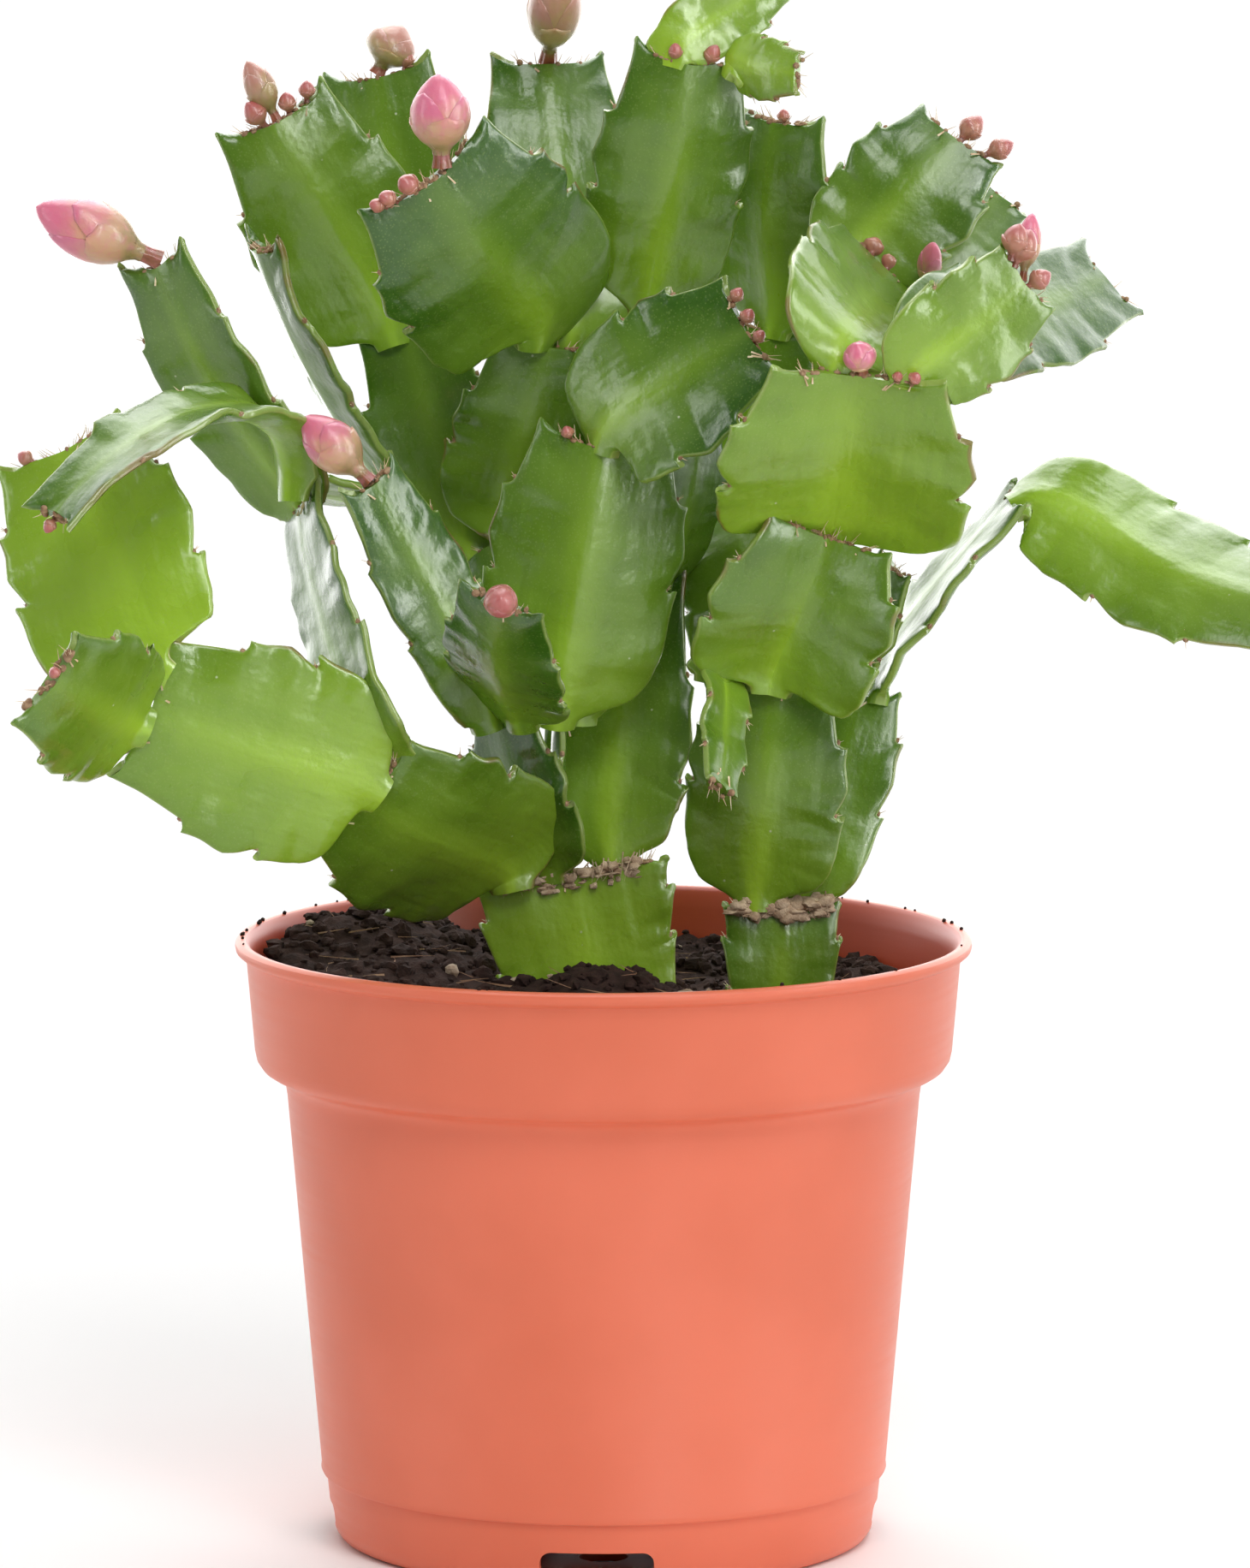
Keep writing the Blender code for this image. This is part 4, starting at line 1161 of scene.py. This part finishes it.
def add_pot(material):
    """A profile of the wall spun round the pot's axis, then the foot slots cut."""
    low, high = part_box("pot")
    top, lip = high.z, 0.5 * (high.x - low.x)
    mm = 0.001
    outer = [
        (lip - 1.7 * mm, top - 0.15 * mm), (lip - 1.2 * mm, top), (lip - 0.5 * mm, top - 0.05 * mm), (lip, top - 0.5 * mm),
        (lip + 0.05 * mm, top - 1.1 * mm), (lip - 0.1 * mm, top - 1.7 * mm), (lip - 0.7 * mm, top - 2.2 * mm),
        (lip - 1.5 * mm, top - 2.6 * mm), (lip - 1.8 * mm, top - 3.4 * mm), (lip - 3.1 * mm, top - 18.2 * mm),
        (lip - 3.4 * mm, top - 19.6 * mm), (lip - 4.2 * mm, top - 20.8 * mm), (lip - 5.0 * mm, top - 21.3 * mm),
        (lip - 6.0 * mm, top - 21.7 * mm), (lip - 6.8 * mm, top - 22.1 * mm), (lip - 7.4 * mm, top - 22.6 * mm),
        (lip - 7.8 * mm, top - 23.2 * mm), (lip - 8.1 * mm, top - 24.0 * mm), (lip - 8.35 * mm, top - 25.6 * mm),
        (0.0463, 0.0122), (0.0464, 0.0115), (0.0462, 0.0111), (0.0455, 0.0109), (0.0454, 0.0100), (0.0447, 0.0030),
        (0.0441, 0.0016), (0.0434, 0.0006), (0.0424, 0.0001), (0.0412, 0.0), (0.030, 0.0), (0.0, 0.0),
    ]
    inner = [
        (0.0, 1.6 * mm), (0.030, 1.6 * mm), (0.0420, 1.8 * mm), (0.0430, 0.0105), (lip - 9.7 * mm, top - 24.0 * mm),
        (lip - 9.4 * mm, top - 21.2 * mm), (lip - 6.4 * mm, top - 20.2 * mm), (lip - 4.8 * mm, top - 18.8 * mm),
        (lip - 3.3 * mm, top - 3.6 * mm), (lip - 2.9 * mm, top - 2.2 * mm), (lip - 2.3 * mm, top - 0.8 * mm), (lip - 1.7 * mm, top - 0.15 * mm),
    ]
    profile = outer + inner[:-1]
    bpy.ops.object.select_all(action="DESELECT")
    bpy.ops.mesh.primitive_circle_add(vertices=len(profile), radius=1.0, fill_type="NOTHING")
    pot = bpy.context.object
    pot.name = pot.data.name = "nursery_pot"
    for vertex, (radius, z) in zip(pot.data.vertices, profile):
        vertex.co = (radius, 0, z)
    only(pot)
    bpy.ops.object.mode_set(mode="EDIT")
    bpy.ops.mesh.select_all(action="SELECT")
    bpy.ops.mesh.spin(steps=192, angle=math.tau, center=(0, 0, 0), axis=(0, 0, 1))
    bpy.ops.mesh.select_all(action="SELECT")
    bpy.ops.mesh.remove_doubles(threshold=0.00001)
    bpy.ops.mesh.dissolve_degenerate(threshold=0.000001)
    bpy.ops.mesh.select_all(action="SELECT")
    bpy.ops.transform.rotate(value=math.radians(0.41), orient_axis="Z", center_override=(0, 0, 0))
    bpy.ops.mesh.normals_make_consistent(inside=False)
    bpy.ops.object.mode_set(mode="OBJECT")
    cutters = []
    for number in range(4):
        bpy.ops.object.select_all(action="DESELECT")
        bpy.ops.mesh.primitive_cube_add(size=1.0)
        cutter = bpy.context.object
        for vertex in cutter.data.vertices:
            vertex.co.x *= 18.3 * mm
            vertex.co.y *= 8.0 * mm
            vertex.co.z *= 4.6 * mm
        bevel = cutter.modifiers.new("corners", "BEVEL")
        bevel.width = 1.8 * mm
        bevel.segments = 4
        apply_modifiers(cutter)
        turn = math.tau * number / 4
        for vertex in cutter.data.vertices:
            x = vertex.co.x - (1.0 * mm if number == 0 else 0.0)
            y = vertex.co.y - 44.0 * mm
            z = vertex.co.z + 4.0 * mm
            vertex.co = (x * math.cos(turn) - y * math.sin(turn), x * math.sin(turn) + y * math.cos(turn), z)
        cutters.append(cutter)
    for number in range(6):
        bpy.ops.object.select_all(action="DESELECT")
        bpy.ops.mesh.primitive_cylinder_add(vertices=24, radius=4.0 * mm, depth=8.0 * mm)
        cutter = bpy.context.object
        angle = math.tau * (number + 0.5) / 6
        only(cutter)
        bpy.ops.object.mode_set(mode="EDIT")
        bpy.ops.transform.rotate(value=math.radians(3.7), orient_axis="Z", center_override=(0, 0, 0))
        bpy.ops.object.mode_set(mode="OBJECT")
        for vertex in cutter.data.vertices:
            vertex.co += Vector((26.0 * mm * math.cos(angle), 26.0 * mm * math.sin(angle), 0.5 * mm))
        cutters.append(cutter)
    for cutter in cutters:
        cut = pot.modifiers.new("slot", "BOOLEAN")
        cut.operation = "DIFFERENCE"
        cut.solver = "EXACT"
        cut.object = cutter
        apply_modifiers(pot)
    for cutter in cutters:
        bpy.data.objects.remove(cutter)
    only(pot)
    bpy.ops.object.mode_set(mode="EDIT")
    bpy.ops.mesh.select_all(action="SELECT")
    bpy.ops.mesh.remove_doubles(threshold=0.000003)
    bpy.ops.mesh.select_all(action="SELECT")
    bpy.ops.mesh.dissolve_degenerate(threshold=0.000003)
    bpy.ops.object.mode_set(mode="OBJECT")
    smooth(pot, 42)
    return settle(pot, material, ["pot"])


# ---------------------------------------------------------------- operators


class CACTUS_OT_materials(bpy.types.Operator):
    """Builds every finish that the pieces share"""

    bl_idname = "cactus.materials"
    bl_label = "Materials"

    def execute(self, context):
        colours = context.scene.cactus_colours
        mottle_group()
        skin_material(colours)
        petal = tuple(colours.petal)
        bud_material("bud_petals", (0.28, 0.09, 0.035), (0.36, 0.26, 0.09), (0.70, 0.38, 0.22), petal)
        bud_material("bud_young", (0.34, 0.10, 0.05), (0.30, 0.24, 0.07), (0.50, 0.36, 0.15), (0.56, 0.26, 0.20))
        bud_material("bud_scales", (0.20, 0.06, 0.03), (0.42, 0.14, 0.09), (0.52, 0.22, 0.14), (0.50, 0.14, 0.13))
        pot_material(colours)
        peat = tuple(colours.peat)
        plain_material("peat", peat, tuple(c * 2.0 for c in peat), 0.92, 420.0, 0.0012)
        plain_material("pale_bits", (0.50, 0.40, 0.30), (0.28, 0.18, 0.11), 0.8, 600.0, 0.0005)
        plain_material("root_fibre", (0.20, 0.085, 0.04), (0.36, 0.22, 0.12), 0.75, 300.0, 0.0003)
        plain_material("old_wood", (0.64, 0.49, 0.33), (0.33, 0.21, 0.12), 0.8, 500.0, 0.0006)
        plain_material("areole_felt", (0.46, 0.30, 0.17), (0.24, 0.12, 0.055), 0.85, 900.0, 0.0004)
        plain_material("bristle_gold", (0.84, 0.72, 0.48), (0.64, 0.44, 0.24), 0.45, 500.0, 0.0002)
        return {"FINISHED"}


@functools.lru_cache(maxsize=1)
def read_blades():
    return tuple(Blade(name) for name in PAD_NODES)


class CACTUS_OT_pads(bpy.types.Operator):
    """Builds every stem pad on its CAD solid's rings"""

    bl_idname = "cactus.pads"
    bl_label = "Stem pads"

    def execute(self, context):
        for blade in read_blades():
            add_pad(blade, context.scene.cactus_sizes, bpy.data.materials["cactus_skin"])
        return {"FINISHED"}


class CACTUS_OT_bristles(bpy.types.Operator):
    """Adds felt and bristles to the apexes and notches"""

    bl_idname = "cactus.bristles"
    bl_label = "Areoles and bristles"

    def execute(self, context):
        materials = bpy.data.materials
        add_bristles(read_blades(), context.scene.cactus_sizes, materials["areole_felt"], materials["bristle_gold"])
        add_cork(read_blades(), context.scene.cactus_sizes, materials["old_wood"])
        return {"FINISHED"}


class CACTUS_OT_buds(bpy.types.Operator):
    """Builds the large flower buds in place of their CAD solids, and the small ones at the apexes"""

    bl_idname = "cactus.buds"
    bl_label = "Flower buds"

    def execute(self, context):
        for name in BUD_NODES:
            material = bpy.data.materials[BUD_FINISHES.get(name, "bud_petals")]
            foot, direction, length, radius = bud_axis(name)
            add_bud("flower_" + name, foot, direction, length, radius, material, [name], scales=BUD_SCALES)
        add_small_buds(read_blades(), context.scene.cactus_sizes, bpy.data.materials["bud_scales"])
        return {"FINISHED"}


class CACTUS_OT_soil(bpy.types.Operator):
    """Builds the soil with its crumbs, pale bits and root fibres"""

    bl_idname = "cactus.soil"
    bl_label = "Potting soil"

    def execute(self, context):
        materials = bpy.data.materials
        shape = SoilShape()
        add_soil(shape, materials["peat"])
        add_crumbs(shape, context.scene.cactus_sizes, materials["peat"], materials["pale_bits"], materials["root_fibre"])
        return {"FINISHED"}


class CACTUS_OT_pot(bpy.types.Operator):
    """Builds the plastic nursery pot"""

    bl_idname = "cactus.pot"
    bl_label = "Nursery pot"

    def execute(self, context):
        add_pot(bpy.data.materials["terracotta_plastic"])
        return {"FINISHED"}


def area_light(name, place, target, size, power, only_in=None):
    """A rectangular light; only_in is "diffuse" or "glossy" for one that lights only in that way."""
    data = bpy.data.lights.new(name, "AREA")
    data.shape = "RECTANGLE"
    data.size, data.size_y = size
    data.energy = power
    light = bpy.data.objects.new(name, data)
    bpy.context.scene.collection.objects.link(light)
    light.location = place
    light.rotation_euler = (Vector(target) - Vector(place)).to_track_quat("-Z", "Y").to_euler()
    light.visible_diffuse = only_in != "glossy"
    light.visible_glossy = only_in != "diffuse"
    light.visible_camera = False
    return light


class CACTUS_OT_stage(bpy.types.Operator):
    """Adds the pale floor, the soft lights and the camera"""

    bl_idname = "cactus.stage"
    bl_label = "Stage"

    def execute(self, context):
        bpy.ops.object.select_all(action="DESELECT")
        bpy.ops.mesh.primitive_circle_add(vertices=96, radius=0.8, fill_type="NGON")
        floor = context.object
        floor.name = "floor"
        material, nodes, links, shader = new_material("floor_white")
        shader.inputs["Base Color"].default_value = (0.92, 0.92, 0.92, 1)
        shader.inputs["Roughness"].default_value = 0.8
        floor.data.materials.append(material)
        world = bpy.data.worlds.new("studio")
        world.use_nodes = True
        nodes, links = world.node_tree.nodes, world.node_tree.links
        path = node(nodes, "ShaderNodeLightPath")
        background = nodes["Background"]
        background.inputs["Color"].default_value = (1, 1, 1, 1)
        direction = node(nodes, "ShaderNodeTexCoord")
        split = node(nodes, "ShaderNodeSeparateXYZ")
        links.new(direction.outputs["Generated"], split.inputs[0])
        level = ramp(nodes, links, split.outputs["Y"], -0.9, 0.6, 0.30, 0.90)
        shade = ramp(nodes, links, split.outputs["X"], -1.0, 0.3, -0.14, 0.0)
        level = math_node(nodes, links, "ADD", level, shade)
        direct = math_node(nodes, links, "SUBTRACT", 1.0, path.outputs["Is Glossy Ray"])
        backdrop = ramp(nodes, links, split.outputs["Y"], -0.2, 0.75, 0.08, 3.4)
        mirrored = math_node(nodes, links, "MULTIPLY", path.outputs["Is Glossy Ray"], backdrop)
        seen = math_node(nodes, links, "ADD", math_node(nodes, links, "MULTIPLY", level, direct), mirrored)
        white = math_node(nodes, links, "MULTIPLY", path.outputs["Is Camera Ray"], 1.05)
        seen = math_node(nodes, links, "MAXIMUM", seen, white)
        links.new(seen, background.inputs["Strength"])
        context.scene.world = world
        context.scene.view_settings.view_transform = "Standard"
        middle = (0, 0, 0.15)
        area_light("key", (0.25, -1.15, 1.5), middle, (0.8, 0.8), 13)
        area_light("fill", (0.9, -1.4, 0.6), middle, (0.7, 0.7), 5, "diffuse")
        area_light("back", (0.1, 1.0, 1.2), middle, (1.2, 0.6), 6)
        area_light("left_strip", (-1.2, -0.5, 0.45), middle, (0.25, 1.2), 5, "glossy")
        area_light("right_strip", (1.2, -0.5, 0.45), middle, (0.35, 1.2), 14, "glossy")
        area_light("streak", (0.52, -1.2, 0.55), middle, (0.13, 1.3), 11, "glossy")
        area_light("top_panel", (0.0, 0.3, 1.5), middle, (1.2, 0.9), 15, "glossy")
        camera_data = bpy.data.cameras.new("camera")
        camera_data.lens = 201.0
        camera_data.sensor_width = 36.0
        camera_data.clip_end = 20.0
        camera = bpy.data.objects.new("camera", camera_data)
        context.scene.collection.objects.link(camera)
        camera.location = (0.0035, -1.412, 0.314)
        camera.rotation_euler = (math.radians(90 - 7.66), 0, 0)
        context.scene.camera = camera
        return {"FINISHED"}


OPERATORS = (
    CACTUS_OT_materials, CACTUS_OT_stage, CACTUS_OT_pot, CACTUS_OT_soil, CACTUS_OT_pads, CACTUS_OT_bristles,
    CACTUS_OT_buds,
)


class CACTUS_PT_panel(bpy.types.Panel):
    """Lists the sizes, the colours and the steps"""

    bl_idname = "CACTUS_PT_panel"
    bl_label = "Christmas cactus"
    bl_space_type = "VIEW_3D"
    bl_region_type = "UI"
    bl_category = "Cactus"

    def draw(self, context):
        for group in (context.scene.cactus_sizes, context.scene.cactus_colours):
            for name in group.bl_rna.properties.keys():
                if name not in ("name", "rna_type"):
                    self.layout.prop(group, name)
        for operator in OPERATORS:
            self.layout.operator(operator.bl_idname)


CLASSES = (CactusSizes, CactusColours, *OPERATORS, CACTUS_PT_panel)


def register():
    for made in CLASSES:
        bpy.utils.register_class(made)
    bpy.types.Scene.cactus_sizes = bpy.props.PointerProperty(type=CactusSizes)
    bpy.types.Scene.cactus_colours = bpy.props.PointerProperty(type=CactusColours)


def unregister():
    del bpy.types.Scene.cactus_colours
    del bpy.types.Scene.cactus_sizes
    for made in reversed(CLASSES):
        bpy.utils.unregister_class(made)


def main():
    register()
    for operator in OPERATORS:
        category, name = operator.bl_idname.split(".")
        getattr(getattr(bpy.ops, category), name)()


if __name__ == "__main__":
    main()
